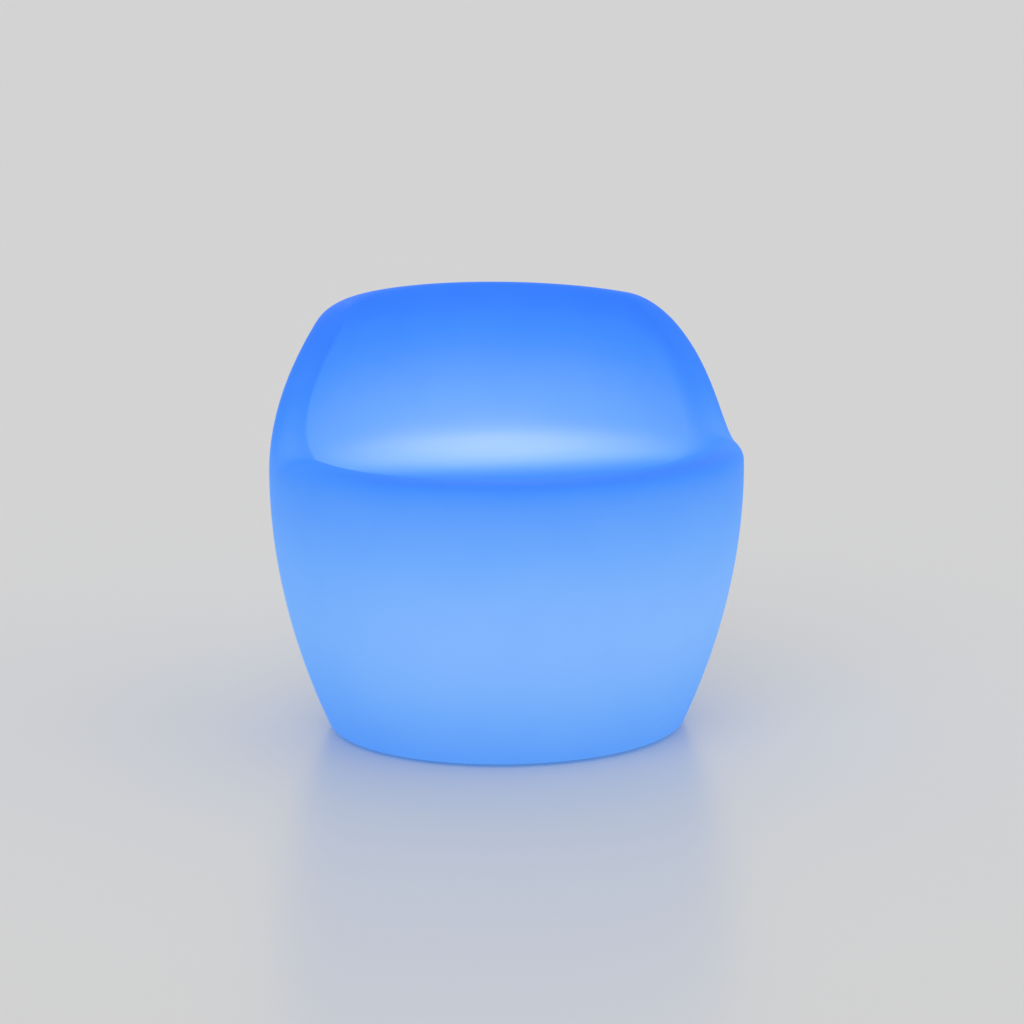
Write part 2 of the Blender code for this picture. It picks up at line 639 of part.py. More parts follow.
def build_tray():
    """The tray: a flange that closes the recess, and a cup that reaches up through the port.
    A neck with a shoulder carries the dome, and posts inside carry the board and the spreader."""
    cup, neck = TRAY_CUP_DIAMETER / 2, TRAY_NECK_DIAMETER / 2
    inner = cup - TRAY_CUP_WALL
    profile = [(0, TRAY_TOP_Z), (inner, TRAY_TOP_Z), (inner, NECK_Z), (neck, NECK_Z),
               (neck, SHOULDER_Z), (cup, SHOULDER_Z), (cup, TRAY_TOP_Z),
               (TRAY_FLANGE_DIAMETER / 2, TRAY_TOP_Z), (TRAY_FLANGE_DIAMETER / 2, TRAY_BOTTOM_Z),
               (0, TRAY_BOTTOM_Z)]
    tray = turned("lamp_tray", profile, TRAY_PLASTIC, sides=WIDE_SIDES)

    middle = (TRAY_TOP_Z + TRAY_BOTTOM_Z) / 2
    posts = around(SPREADER_POST_CIRCLE, POST_ANGLES)
    boolean(tray, cylinders("spreader_posts", posts, SPREADER_POST_DIAMETER, middle, NECK_Z,
                            SMALL_SIDES), "UNION")
    boolean(tray, cylinders("board_posts", board_screw_places(), BOARD_POST_DIAMETER, middle,
                            BOARD_Z - FIT_GAP, SMALL_SIDES), "UNION")
    stop_low = TRAY_BOTTOM_Z - FIT_GAP - JACK_FLANGE - FIT_GAP - COVER_THICKNESS * 3 / 4
    boolean(tray, cylinders("cover_stops", stop_places(), STOP_DIAMETER, stop_low, middle,
                            SMALL_SIDES), "UNION")

    low, high = TRAY_BOTTOM_Z - CUT_OVERRUN, TRAY_TOP_Z + CUT_OVERRUN
    small = SMALL_SCREW_DIAMETER + 2 * FIT_GAP
    holes = [("screw_holes", around(INSERT_CIRCLE, INSERT_ANGLES), SCREW_DIAMETER, low, high),
             ("collar_hole", [(BUTTON_X, BOARD_Y)], COLLAR_DIAMETER, low, high),
             ("jack_hole", [(JACK_X, JACK_Y)], JACK_THREAD_DIAMETER, low, high),
             ("lens_hole", [(LENS_X, BOARD_Y)], LENS_DIAMETER, low, high),
             ("pivot_hole", [pivot_place()], PIVOT_DIAMETER, low, TRAY_TOP_Z - TRAY_PLATE / 4)]
    for name, places, diameter, bottom, top in holes:
        boolean(tray, cylinders(name, places, diameter + 2 * FIT_GAP, bottom, top))
    boolean(tray, cylinders("spreader_pilots", posts, small, NECK_Z - SMALL_SCREW_LENGTH,
                            NECK_Z + CUT_OVERRUN, SMALL_SIDES))
    boolean(tray, cylinders("board_pilots", board_screw_places(), small,
                            BOARD_TOP_Z - SMALL_SCREW_LENGTH, BOARD_Z + CUT_OVERRUN, SMALL_SIDES))
    return tray


def build_seals():
    """The gasket between the tray and the recess roof, and the seal under the dome."""
    ring("tray_gasket", GASKET_OUTER_DIAMETER, GASKET_INNER_DIAMETER,
         GASKET_TOP_Z - GASKET_THICKNESS, GASKET_TOP_Z, SILICONE, sides=WIDE_SIDES)
    low = SHOULDER_Z + FIT_GAP
    ring("dome_seal", TRAY_CUP_DIAMETER, TRAY_NECK_DIAMETER + 2 * FIT_GAP, low,
         low + DOME_SEAL_HEIGHT, SILICONE, sides=WIDE_SIDES)


def cell_lines():
    """The place across the tray of each battery cell."""
    first = BATTERY_Y - CELL_PITCH * (CELL_COUNT - 1) / 2
    return [first + CELL_PITCH * number for number in range(CELL_COUNT)]


def build_battery():
    """Three cells side by side in a cradle with a trough for each, under a strap."""
    floor = TRAY_TOP_Z + FIT_GAP
    half = CRADLE_HALF_LENGTH
    front, back = BATTERY_Y - CRADLE_HALF_WIDTH, BATTERY_Y + CRADLE_HALF_WIDTH
    cradle = solids("battery_cradle", lambda grid: box(
        grid, (-half, front, floor), (half, back, floor + CRADLE_HEIGHT)), DARK_PLASTIC)

    def troughs(grid):
        for y in cell_lines():
            place = Matrix.Translation((0, y, CELL_AXIS_Z)) @ Matrix.Rotation(math.pi / 2, 4, "Y")
            radius = CELL_DIAMETER / 2 + FIT_GAP
            bmesh.ops.create_cone(grid, cap_ends=True, segments=ROUND_SIDES, radius1=radius,
                                  radius2=radius, depth=CELL_LENGTH + 2 * FIT_GAP, matrix=place)
    boolean(cradle, solids("cell_troughs", troughs))

    for number, y in enumerate(cell_lines(), 1):
        radius, tip = CELL_DIAMETER / 2, CELL_TIP_DIAMETER / 2
        edge, end = CELL_TIP_HEIGHT, CELL_LENGTH / 2
        profile = [(0, end), (tip, end), (tip, end - edge), (radius - edge, end - edge),
                   (radius, end - 2 * edge), (radius, edge - end), (radius - edge, -end),
                   (0, -end)]
        cell = turned(f"battery_cell_{number}", profile, CELL_WRAP)
        cell.location = (0, y, CELL_AXIS_Z)
        cell.rotation_euler = (0, math.pi / 2, 0)

    top = CELL_AXIS_Z + CELL_DIAMETER / 2 + FIT_GAP
    near, far = front - FIT_GAP, back + FIT_GAP
    strap = solids("battery_strap", lambda grid: box(
        grid, (-STRAP_WIDTH / 2, near - STRAP_THICKNESS, floor),
        (STRAP_WIDTH / 2, far + STRAP_THICKNESS, top + STRAP_THICKNESS)), STEEL)
    boolean(strap, solids("strap_opening", lambda grid: box(
        grid, (-STRAP_WIDTH, near, floor - CUT_OVERRUN), (STRAP_WIDTH, far, top))))


def board_screw_places():
    return [(-BOARD_SCREW_SPREAD / 2, BOARD_Y), (BOARD_SCREW_SPREAD / 2, BOARD_Y)]


def build_board():
    """The control board on its two posts, and what stands on it."""
    low, high = BOARD_Y - BOARD_WIDTH / 2, BOARD_Y + BOARD_WIDTH / 2
    board = solids("control_board", lambda grid: box(
        grid, (-BOARD_LENGTH / 2, low, BOARD_Z), (BOARD_LENGTH / 2, high, BOARD_TOP_Z)),
        BOARD_LAMINATE)
    boolean(board, cylinders("board_holes", board_screw_places(),
                             SMALL_SCREW_DIAMETER + 2 * FIT_GAP, BOARD_Z - CUT_OVERRUN,
                             BOARD_TOP_Z + CUT_OVERRUN, SMALL_SIDES))
    for number, (x, y) in enumerate(board_screw_places(), 1):
        screw(f"board_screw_{number}", x, y, BOARD_TOP_Z, SMALL_SCREW_LENGTH - 2 * FIT_GAP, -1, True)

    rest = BOARD_TOP_Z + FIT_GAP
    chip = CHIP_WIDTH / 2
    solids("controller_chip", lambda grid: box(
        grid, (-chip, BOARD_Y - chip, rest), (chip, BOARD_Y + chip, rest + CHIP_HEIGHT)),
        DARK_PLASTIC)
    choke_x = (CHIP_WIDTH + BOARD_SCREW_SPREAD) / 4
    solids("choke", lambda grid: cylinder(
        grid, CHOKE_DIAMETER, rest, rest + CHOKE_HEIGHT, choke_x, low + CHOKE_DIAMETER), DARK_PLASTIC)
    receiver_y = high - RECEIVER_WIDTH
    solids("remote_receiver", lambda grid: box(
        grid, (-RECEIVER_LENGTH / 2 - choke_x, receiver_y, rest),
        (RECEIVER_LENGTH / 2 - choke_x, receiver_y + RECEIVER_WIDTH, rest + RECEIVER_HEIGHT)),
        WHITE_LAMINATE)
    wide = SWITCH_WIDTH / 2
    switch = solids("power_switch", lambda grid: box(
        grid, (BUTTON_X - wide, BOARD_Y - wide, SWITCH_Z),
        (BUTTON_X + wide, BOARD_Y + wide, SWITCH_Z + SWITCH_HEIGHT)), DARK_PLASTIC)
    plunger_top = SWITCH_Z + PLUNGER_GRIP
    boolean(switch, cylinders("plunger_hole", [(BUTTON_X, BOARD_Y)], PLUNGER_DIAMETER + 2 * FIT_GAP,
                              SWITCH_Z - CUT_OVERRUN, plunger_top + BUTTON_TRAVEL + FIT_GAP,
                              SMALL_SIDES))
    solids("switch_plunger", lambda grid: cylinder(
        grid, PLUNGER_DIAMETER, BUTTON_TOP_Z + FIT_GAP, plunger_top, BUTTON_X, BOARD_Y,
        SMALL_SIDES), CLEAR_PLASTIC)


def led_lead_place():
    """Where the light's lead leaves the board and passes the spreader."""
    return -BOARD_SCREW_SPREAD / 2, BOARD_Y - BOARD_WIDTH / 3


def build_light():
    """The aluminium spreader on the cup's neck, the board of diodes on it, and the dome."""
    spreader = solids("heat_spreader", lambda grid: cylinder(
        grid, TRAY_NECK_DIAMETER, SPREADER_Z, SPREADER_TOP_Z, sides=WIDE_SIDES), ALUMINIUM)
    low, high = SPREADER_Z - CUT_OVERRUN, SPREADER_TOP_Z + CUT_OVERRUN
    posts = around(SPREADER_POST_CIRCLE, POST_ANGLES)
    boolean(spreader, cylinders("spreader_holes", posts, SMALL_SCREW_DIAMETER + 2 * FIT_GAP,
                                low, high, SMALL_SIDES))
    boolean(spreader, cylinders("lead_hole", [led_lead_place()], LEAD_DIAMETER + 4 * FIT_GAP,
                                low, high, SMALL_SIDES))
    for number, (x, y) in enumerate(posts, 1):
        screw(f"spreader_screw_{number}", x, y, SPREADER_TOP_Z, SMALL_SCREW_LENGTH, -1, True)

    board_top = LED_BOARD_Z + LED_BOARD_THICKNESS
    solids("led_board", lambda grid: cylinder(
        grid, LED_BOARD_DIAMETER, LED_BOARD_Z, board_top, sides=WIDE_SIDES), WHITE_LAMINATE)
    circle = [math.tau * turn / (LED_COUNT - 1) for turn in range(LED_COUNT - 1)]
    half, rest = LED_WIDTH / 2, board_top + FIT_GAP
    for number, (x, y) in enumerate([(0, 0), *around(LED_CIRCLE, circle)], 1):
        solids(f"led_{number}", lambda grid: box(
            grid, (x - half, y - half, rest), (x + half, y + half, rest + LED_HEIGHT)), LED_BODY)

    outer, inner = TRAY_CUP_DIAMETER / 2, TRAY_CUP_DIAMETER / 2 - DOME_WALL
    spring = DOME_Z + DOME_SKIRT
    crown = DOME_HEIGHT - DOME_SKIRT
    turns = [math.pi / 2 * step / DOME_STEPS for step in range(DOME_STEPS, -1, -1)]
    outside = [(outer * math.cos(turn), spring + crown * math.sin(turn)) for turn in turns]
    inside = [(inner * math.cos(turn), spring + (crown - DOME_WALL) * math.sin(turn))
              for turn in reversed(turns)]
    outside[0], inside[-1] = (0, outside[0][1]), (0, inside[-1][1])
    turned("dome", [*outside, (outer, DOME_Z), (inner, DOME_Z), *inside], DIFFUSER,
           sides=WIDE_SIDES)


def build_button():
    """The power button, held by an inner flange, in a soft collar that seals the tray."""
    collar_low = TRAY_BOTTOM_Z - COLLAR_PROUD
    ring("button_collar", COLLAR_DIAMETER, BUTTON_DIAMETER + 2 * FIT_GAP, collar_low, TRAY_TOP_Z,
         RUBBER, BUTTON_X, BOARD_Y)
    radius, flange = BUTTON_DIAMETER / 2, BUTTON_FLANGE_DIAMETER / 2
    low, seat = TRAY_BOTTOM_Z - BUTTON_PROUD, TRAY_TOP_Z + FIT_GAP
    edge = COLLAR_PROUD / 2
    turned("power_button", [(0, BUTTON_TOP_Z), (flange, BUTTON_TOP_Z),
                            (flange, seat), (radius, seat), (radius, low + edge),
                            (radius - edge, low), (0, low)], DARK_PLASTIC, BUTTON_X, BOARD_Y)


def build_socket():
    """The charging socket with its nut, and the cover that swings across it on a pivot."""
    top = TRAY_BOTTOM_Z - FIT_GAP
    low = top - JACK_FLANGE
    roof = low + JACK_BORE_DEPTH
    thread, flange = JACK_THREAD_DIAMETER / 2, JACK_FLANGE_DIAMETER / 2
    bore, pin = JACK_BORE_DIAMETER / 2, JACK_PIN_DIAMETER / 2
    turned("charge_jack", [(0, low + JACK_LENGTH), (thread, low + JACK_LENGTH), (thread, top),
                           (flange, top), (flange, low), (bore, low), (bore, roof), (pin, roof),
                           (pin, low + JACK_PIN_RECESS), (0, low + JACK_PIN_RECESS)],
           DARK_PLASTIC, JACK_X, JACK_Y)
    nut_low = TRAY_TOP_Z + FIT_GAP
    nut = solids("jack_nut", lambda grid: cylinder(
        grid, NUT_WIDTH, nut_low, nut_low + NUT_HEIGHT, JACK_X, JACK_Y, 6), STEEL)
    boolean(nut, cylinders("nut_thread", [(JACK_X, JACK_Y)], JACK_THREAD_DIAMETER + 2 * FIT_GAP,
                           nut_low - CUT_OVERRUN, nut_low + NUT_HEIGHT + CUT_OVERRUN))

    x, y = pivot_place()
    high = low - FIT_GAP
    floor = high - COVER_THICKNESS
    turns = [math.pi * step / COVER_STEPS for step in range(COVER_STEPS + 1)]
    outline = [(COVER_DIAMETER / 2 * math.cos(turn), COVER_DIAMETER / 2 * math.sin(turn))
               for turn in turns]
    outline += [(-px, -COVER_ARM - py) for px, py in outline]
    grid = bmesh.new()
    face = grid.faces.new([grid.verts.new((px, py, 0)) for px, py in outline])
    lifted = bmesh.ops.extrude_face_region(grid, geom=[face])["geom"]
    upper = [part for part in lifted if isinstance(part, bmesh.types.BMVert)]
    bmesh.ops.translate(grid, verts=upper, vec=(0, 0, COVER_THICKNESS))
    bmesh.ops.recalc_face_normals(grid, faces=grid.faces)
    mesh = bpy.data.meshes.new("jack_cover")
    grid.to_mesh(mesh)
    grid.free()
    cover = add("jack_cover", mesh, RUBBER)
    cover.location = (x, y, floor)
    boolean(cover, cylinders("cover_hole", [(x, y)], PIVOT_DIAMETER + 2 * FIT_GAP,
                             floor - CUT_OVERRUN, high + CUT_OVERRUN))

    head, shank = PIVOT_HEAD_DIAMETER / 2, PIVOT_DIAMETER / 2
    seat = floor - FIT_GAP
    turned("cover_pivot", [(0, TRAY_TOP_Z - TRAY_PLATE / 3), (shank, TRAY_TOP_Z - TRAY_PLATE / 3),
                           (shank, seat), (head, seat), (head, seat - PIVOT_HEAD_HEIGHT / 2),
                           (head / 2, seat - PIVOT_HEAD_HEIGHT), (0, seat - PIVOT_HEAD_HEIGHT)],
           STEEL, x, y)


def build_status_lens():
    """A light pipe under the control board that shows through the tray."""
    radius, flange = LENS_DIAMETER / 2, LENS_FLANGE_DIAMETER / 2
    low, seat, top = TRAY_BOTTOM_Z - LENS_PROUD, TRAY_TOP_Z + FIT_GAP, BOARD_Z - FIT_GAP
    turned("status_lens", [(0, top), (radius, top), (radius, seat + LENS_FLANGE),
                           (flange, seat + LENS_FLANGE), (flange, seat), (radius, seat),
                           (radius, low), (0, low)], CLEAR_PLASTIC, LENS_X, BOARD_Y, SMALL_SIDES)


def lead(name, route):
    """A round lead along a smooth curve through its route."""
    points = np.array(route)
    ends = np.concatenate([2 * points[:1] - points[1:2], points, 2 * points[-1:] - points[-2:-1]])
    smooth_points = []
    for index in range(1, len(ends) - 2):
        before, start, stop, after = ends[index - 1:index + 3]
        for share in np.linspace(0, 1, LEAD_STEPS + 1)[:-1]:
            smooth_points.append(start + share * (stop - before) / 2
                                 + share ** 2 * (before - 5 / 2 * start + 2 * stop - after / 2)
                                 + share ** 3 * (3 * start - before - 3 * stop + after) / 2)
    smooth_points.append(points[-1])
    curve = bpy.data.curves.new(name, "CURVE")
    curve.dimensions = "3D"
    curve.bevel_depth = LEAD_DIAMETER / 2
    curve.bevel_resolution = 2
    curve.use_fill_caps = True
    curve.render_resolution_u = 0
    spline = curve.splines.new("POLY")
    spline.points.add(len(smooth_points) - 1)
    for point, place in zip(spline.points, smooth_points):
        point.co = (*place, 1)
    curve.materials.append(finish(name + "_sheath", *LEAD_SHEATH[1:]))
    piece = bpy.data.objects.new(name, curve)
    PARTS.objects.link(piece)
    return piece


def build_leads():
    """One lead from the battery to the board, and one from the board up to the diodes."""
    tail = LEAD_TAIL
    exit_x = CRADLE_HALF_LENGTH + FIT_GAP
    exit_z = TRAY_TOP_Z + FIT_GAP + CRADLE_HEIGHT / 2
    landing = BOARD_TOP_Z + FIT_GAP
    land_x, land_y = BOARD_SCREW_SPREAD / 2, BOARD_Y + BOARD_WIDTH / 3
    lead("battery_lead", [(exit_x, BATTERY_Y, exit_z),
                          (exit_x + tail, BATTERY_Y, exit_z),
                          (exit_x + 2 * tail, BATTERY_Y - 2 * tail, exit_z + tail),
                          (exit_x + tail, land_y + 2 * tail, landing + 2 * tail),
                          (land_x, land_y, landing + 2 * tail),
                          (land_x, land_y, landing)])
    x, y = led_lead_place()
    top = LED_BOARD_Z - FIT_GAP
    lead("led_lead", [(x, y, landing), (x, y, landing + tail), (x, y, top - tail), (x, y, top)])


build_shell()
build_feet()
build_inserts()
build_tray()
build_seals()
build_battery()
build_board()
build_light()
build_button()
build_socket()
build_status_lens()
build_leads()
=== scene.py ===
"""The looks of a light-up tub stool: a hollow moulded polyethylene shell that glows blue.

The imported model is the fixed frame. Every piece here is placed by its nodes and by named sizes, in
metres, +Z up, front towards -Y. New surfaces are grids of points worked out with numpy.
"""
import math

import bmesh
import bpy
import numpy as np
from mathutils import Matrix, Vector
from mathutils.kdtree import KDTree


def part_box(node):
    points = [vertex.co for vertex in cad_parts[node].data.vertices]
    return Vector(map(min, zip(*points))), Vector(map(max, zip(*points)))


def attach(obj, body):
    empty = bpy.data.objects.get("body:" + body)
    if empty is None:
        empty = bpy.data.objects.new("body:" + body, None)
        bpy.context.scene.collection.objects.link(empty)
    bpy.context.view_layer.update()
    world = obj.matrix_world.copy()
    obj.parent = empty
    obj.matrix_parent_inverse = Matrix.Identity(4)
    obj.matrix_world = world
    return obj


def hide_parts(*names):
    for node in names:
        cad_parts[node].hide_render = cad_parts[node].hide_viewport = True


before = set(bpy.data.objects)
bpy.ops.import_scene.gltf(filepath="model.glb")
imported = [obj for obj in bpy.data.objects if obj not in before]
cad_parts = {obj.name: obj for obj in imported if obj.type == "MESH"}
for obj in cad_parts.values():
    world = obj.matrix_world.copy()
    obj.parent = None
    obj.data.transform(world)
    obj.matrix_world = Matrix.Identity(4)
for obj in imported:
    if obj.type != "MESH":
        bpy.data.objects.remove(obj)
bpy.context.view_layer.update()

# The whole stool
STOOL_WIDTH = 0.540
STOOL_DEPTH = 0.490
STOOL_HEIGHT = 0.480
GIRTH_HEIGHT = 0.297
BASE_WIDTH = 0.404
BASE_DEPTH = 0.368
TOP_WIDTH = 0.402
TOP_DEPTH = 0.486
SHELL_WALL = 0.005
BASE_Z = 0.003
FIT_GAP = 0.0003

# The seat, the rim and the wings of the back
SEAT_HEIGHT = 0.326
SEAT_SINK = 0.030
LIP_DROP = 0.005
RIM_WIDTH = 0.034
RIM_ROUND = 0.017
SEAT_FILLET_REACH = 0.050
SEAT_FILLET_HEIGHT = 0.045
WING_START_ANGLE = math.radians(84)
WING_TOP_ANGLE = math.radians(115)
WING_FOOT_REACH = 0.082
WING_TOP_REACH = 0.122
WING_EASE_FRONT = 0.035
WING_EASE_BACK = 0.105
BASE_EDGE_ROUND = 0.006

# The recess and the port in the underside
RECESS_Z = 0.018
RECESS_RADIUS = 0.100
RECESS_ROUND = 0.004
PORT_RADIUS = 0.075

# The feet, the brass inserts and the screws
FOOT_PLACES = [(-0.108, -0.100), (0.108, -0.100), (0.108, 0.100), (-0.108, 0.100)]
FOOT_RADIUS = 0.015
FOOT_TOP = 0.008
FOOT_BOSS_RADIUS = 0.022
FOOT_BOSS_TOP = 0.022
FOOT_SCREW_TOP = 0.018
INSERT_CIRCLE_RADIUS = 0.090
INSERT_COUNT = 6
INSERT_RADIUS = 0.004
INSERT_TOP = RECESS_Z + 0.010
INSERT_BOSS_RADIUS = 0.0075
INSERT_BOSS_CAP = 0.003
SCREW_RADIUS = 0.002
SCREW_BORE = SCREW_RADIUS + FIT_GAP
INSERT_ANGLES = [math.radians(30) + math.tau * turn / INSERT_COUNT for turn in range(INSERT_COUNT)]
INSERT_PLACES = [(INSERT_CIRCLE_RADIUS * math.cos(turn), INSERT_CIRCLE_RADIUS * math.sin(turn))
                 for turn in INSERT_ANGLES]

# The rounding of edges
FINE_EDGE = 0.0002
SOFT_EDGE = 0.0004
WIDE_EDGE = 0.0008

# Details of the feet, the screws and the inserts. A screw is its shank's radius, its head's radius
# and height, and the pitch of its thread.
FOOT_EDGE = 0.0015
FOOT_BORE_RADIUS = 0.00435
FOOT_BORE_TOP = 0.004
FOOT_GROOVES = 3
FOOT_GROOVE = 0.0005
LARGE_SCREW = (SCREW_RADIUS, 0.00375, 0.0024, 0.0007)
SMALL_SCREW = (0.00125, 0.0024, 0.0016, 0.00045)
SCREW_FACE_SHARE = 0.75
THREAD_DEPTH_SHARE = 0.5
SOCKET_RADIUS = 0.0015
SOCKET_DEPTH = 0.0014
CROSS_LENGTH = 0.0028
CROSS_WIDTH = 0.0006
CROSS_DEPTH = 0.0007
CROSS_ROUND = 0.0001
INSERT_GROOVE_SHARES = (0.42, 0.58)
KNURL_DEPTH = 0.00025

# The tray of the lamp unit, with the pegs that stop the socket's cover
TRAY_Z = 0.0124
TRAY_TOP_Z = 0.0154
SHOULDER_Z = 0.0359
NECK_Z = 0.0464
BOARD_Z = 0.0230
FLANGE_RADIUS = 0.097
CUP_RADIUS = 0.0735
NECK_RADIUS = 0.0712
CUP_INSIDE = 0.069
TRAY_RINGS = (0.0685, 0.0795)
TRAY_RING_DEPTH = 0.0004
SPREADER_SCREWS = ["spreader_screw_1", "spreader_screw_2", "spreader_screw_3"]
BOARD_SCREWS = ["board_screw_1", "board_screw_2"]
SPREADER_POST_RADIUS = 0.004
BOARD_POST_RADIUS = 0.0035
SMALL_PILOT = 0.008
STOP_RADIUS = 0.0015
STOP_Z = 0.0083
STOP_REACH = 0.012
COVER_SWING = math.radians(100)
COVER_ARM_ANGLE = math.radians(-90)
STOP_CLEARANCE = math.radians(47.2)
STOP_ANGLES = (COVER_ARM_ANGLE - STOP_CLEARANCE, COVER_ARM_ANGLE + COVER_SWING + STOP_CLEARANCE)

# The seals and the light
SEAL_WIDTHS = {"tray_gasket": 0.007, "dome_seal": 0.002}
BEAD_SHARES = (0.15, 0.3, 0.5, 0.7, 0.85)
BEAD_DEPTH = 0.0003
LED_COUNT = 7
LED_BODY_SHARE = 0.5
LED_LENS_SHARE = 0.42
DOME_SKIRT = 0.010
DOME_WALL = 0.002

# The battery, the control board and the leads
CELL_COUNT = 3
CELL_TIP_HEIGHT = 0.0012
CELL_TIP_RADIUS = 0.00325
CELL_VENT_RADIUS = 0.0042
CELL_LIP = 0.0010
STRAP_THICKNESS = 0.0012
STRAP_BEND = 0.0020
CHIP_DOT_INSET = 0.0016
CHIP_DOT_RADIUS = 0.0005
CHIP_DOT_DEPTH = 0.00015
CHOKE_FLANGE = 0.0013
CHOKE_GROOVE = 0.0008
CHOKE_DIP_RADIUS = 0.0015
CHOKE_WIRE = 0.0005
RECEIVER_LENS_RADIUS = 0.0028
RECEIVER_LENS_HEIGHT = 0.0008
PLUNGER_RADIUS = 0.0015
PLUNGER_HOLE = 0.0028
LEAD_RADIUS = 0.0012
LEAD_ROUTES = {
    "battery_lead": [(0.0353, 0.0281, 0.0207), (0.0393, 0.0281, 0.0207), (0.0433, 0.0201, 0.0247),
                     (0.0393, -0.0136, 0.0329), (0.0260, -0.0216, 0.0329), (0.0260, -0.0216, 0.0249)],
    "led_lead": [(-0.0260, -0.0456, 0.0249), (-0.0260, -0.0456, 0.0289),
                 (-0.0260, -0.0456, 0.0447), (-0.0260, -0.0456, 0.0487)]}

# The button, the charging socket with its cover, and the status light
BUTTON_RADIUS = 0.007
BUTTON_FLANGE = 0.0012
BUTTON_RING_RADIUS = 0.0046
BUTTON_DISH = 0.0004
COLLAR_RADIUS = 0.010
JACK_THREAD_RADIUS = 0.0055
JACK_THREAD_PITCH = 0.0010
JACK_FLANGE = 0.002
JACK_BORE_RADIUS = 0.0032
JACK_BORE_DEPTH = 0.009
JACK_PIN_RADIUS = 0.001
JACK_PIN_RECESS = 0.0035
NUT_CHAMFER = 0.0005
NUT_FACE_SHARE = 0.88
PIVOT_RADIUS = 0.0018
PIVOT_HOLE_TOP = 0.01465
PIVOT_HEAD_HEIGHT = 0.0015
SLOT_WIDTH = 0.0009
SLOT_DEPTH = 0.0006
GRIP_SHARE = 0.55
GRIP_GROOVE = 0.0006
GRIP_PITCH = 0.0018
LENS_RADIUS = 0.0025
LENS_FLANGE = 0.001

# How finely the pieces are laid out
HALF_COLUMNS = 104
WALL_ROWS = 34
NOSE_ROWS = 10
BOWL_ROWS = 48
SEAT_ROWS = 14
EDGE_ROWS = 7
BASE_ROWS = 12
CLIMB_STEPS = 800

ROUND_SIDES = 72
WIDE_SIDES = 192
SCREW_SIDES = 32
SMALL_SIDES = 20
KNURL_SIDES = 72
TOOL_SIDES = 48
ROUNDING_STEPS = 4
CORNER_STEPS = 6
THREAD_SAMPLES = 4
DOME_ROWS = 40
LENS_STEPS = 6
LEAD_STEPS = 8
MERGE_DISTANCE = 0.000005
SHARP_ANGLE = math.radians(35)

# Shares that shape the shell
CROWD_SHARE = 2.0
CROWD_WIDTH_SHARE = 0.5
BOWL_INSET_SHARES = (0.25, 0.45, 0.65, 0.82)
SEAT_RING_SHARES = (0.75, 0.5)
RIM_CORNER_SHARE = 0.92
RIM_ROLL_SHARE = 2.0
FOOT_CORNER_SHARE = 0.1

# The glow of the shell: levels of green light as shares of white, and how they fade
LEAST_GLOW = 0.177
WALL_GLOW = 0.265
WALL_GLOW_Z = 0.150
WALL_GLOW_ABOVE = 0.182
WALL_GLOW_BELOW = 0.172
SIDE_FADE_SHARE = 0.218
FLOOR_GLOW = 0.417
FLOOR_GLOW_PLACE = (0.031, 0.180)
FLOOR_GLOW_REACH = 0.448
BACK_GLOW = 0.322
BACK_GLOW_PLACE = (0.010, 0.075)
BACK_GLOW_REACH = 0.279
BACK_GLOW_Z = 0.282
BACK_GLOW_FADE = 0.131
INSIDE_REACH = 0.045
UNDERSIDE_GLOW = 0.100
UNDERSIDE_GLOW_REACH = 0.090
LIP_SHADE = 0.081
LIP_SHADE_REACH = 0.019
LIP_SHADE_BACK = 0.007
LIP_SHADE_EASE = 0.052
WING_FOOT_GLOW = 0.062
WING_FOOT_PLACE = (0.270, -0.050, 0.322)
WING_FOOT_REACH_ROUND = 0.100
WING_FOOT_REACH_ACROSS = 0.0175

# The shell's colours: its own under the glow, and the glow's from the dimmest to the brightest
SHELL_DEEP = "#0A2C9C"
SHELL_ROUGHNESS = 0.60
SHELL_SPECULAR = 0.10
SHELL_IOR = 1.51
DIMMEST_GLOW = 0.12
BRIGHTEST_GLOW = 0.66
GLOW_COLOURS = [(0.0, "#1E60D2"), (0.24, "#4189D9"), (0.48, "#6DA6DA"), (0.74, "#93BFDF"),
                (1.0, "#B9D7E1")]
CLOUD_SIZE = 0.060
CLOUD_SHARE = 0.02
PEEL_SIZE = 0.0016
PEEL_DEPTH = 0.00006

# The span of a noise's values that a material's tones spread over
TONE_SPAN = (0.3, 0.7)

# The studio. A light is its power, its angle across and the place that it shines from.
FLOOR_RADIUS = 60.0
FLOOR_FIRST_RING = 0.05
FLOOR_RINGS = 40
FLOOR_SIDES = 96
FLOOR_FADE_NEAR = 6.0
FLOOR_FADE_FAR = 40.0
FLOOR_COLOUR = "#CFCFCF"
FLOOR_ROUGHNESS = 0.30
FLOOR_SPECULAR = 0.4
STUDIO_COLOUR = "#D2D2D2"
WORLD_STRENGTH = 1.1
LIGHTS = {"key_light": (0.6, math.radians(50), (-1.5, -2.0, 2.6)),
          "fill_light": (0.35, math.radians(70), (2.4, -1.0, 2.0)),
          "back_light": (0.25, math.radians(60), (0.6, 2.4, 2.2))}

# The camera of the photograph: where it stands, what it looks at, and its lens
CAMERA_AZIMUTH = math.radians(-15.1)
CAMERA_ELEVATION = math.radians(12.0)
CAMERA_DISTANCE = 3.586
CAMERA_LOOKS_AT = (0.0054, 0.0, 0.2470)
CAMERA_LENS_MM = 110.9
CAMERA_SENSOR_MM = 36.0
CAMERA_CLIPS = (0.05, 50)


# Colours and nodes

def linear(hex_colour):
    """An sRGB hex colour such as #3D7BFF as linear red, green, blue and alpha."""
    parts = [value / 255 for value in bytes.fromhex(hex_colour[1:])]
    return (*[c / 12.92 if c <= 0.04045 else ((c + 0.055) / 1.055) ** 2.4 for c in parts], 1.0)


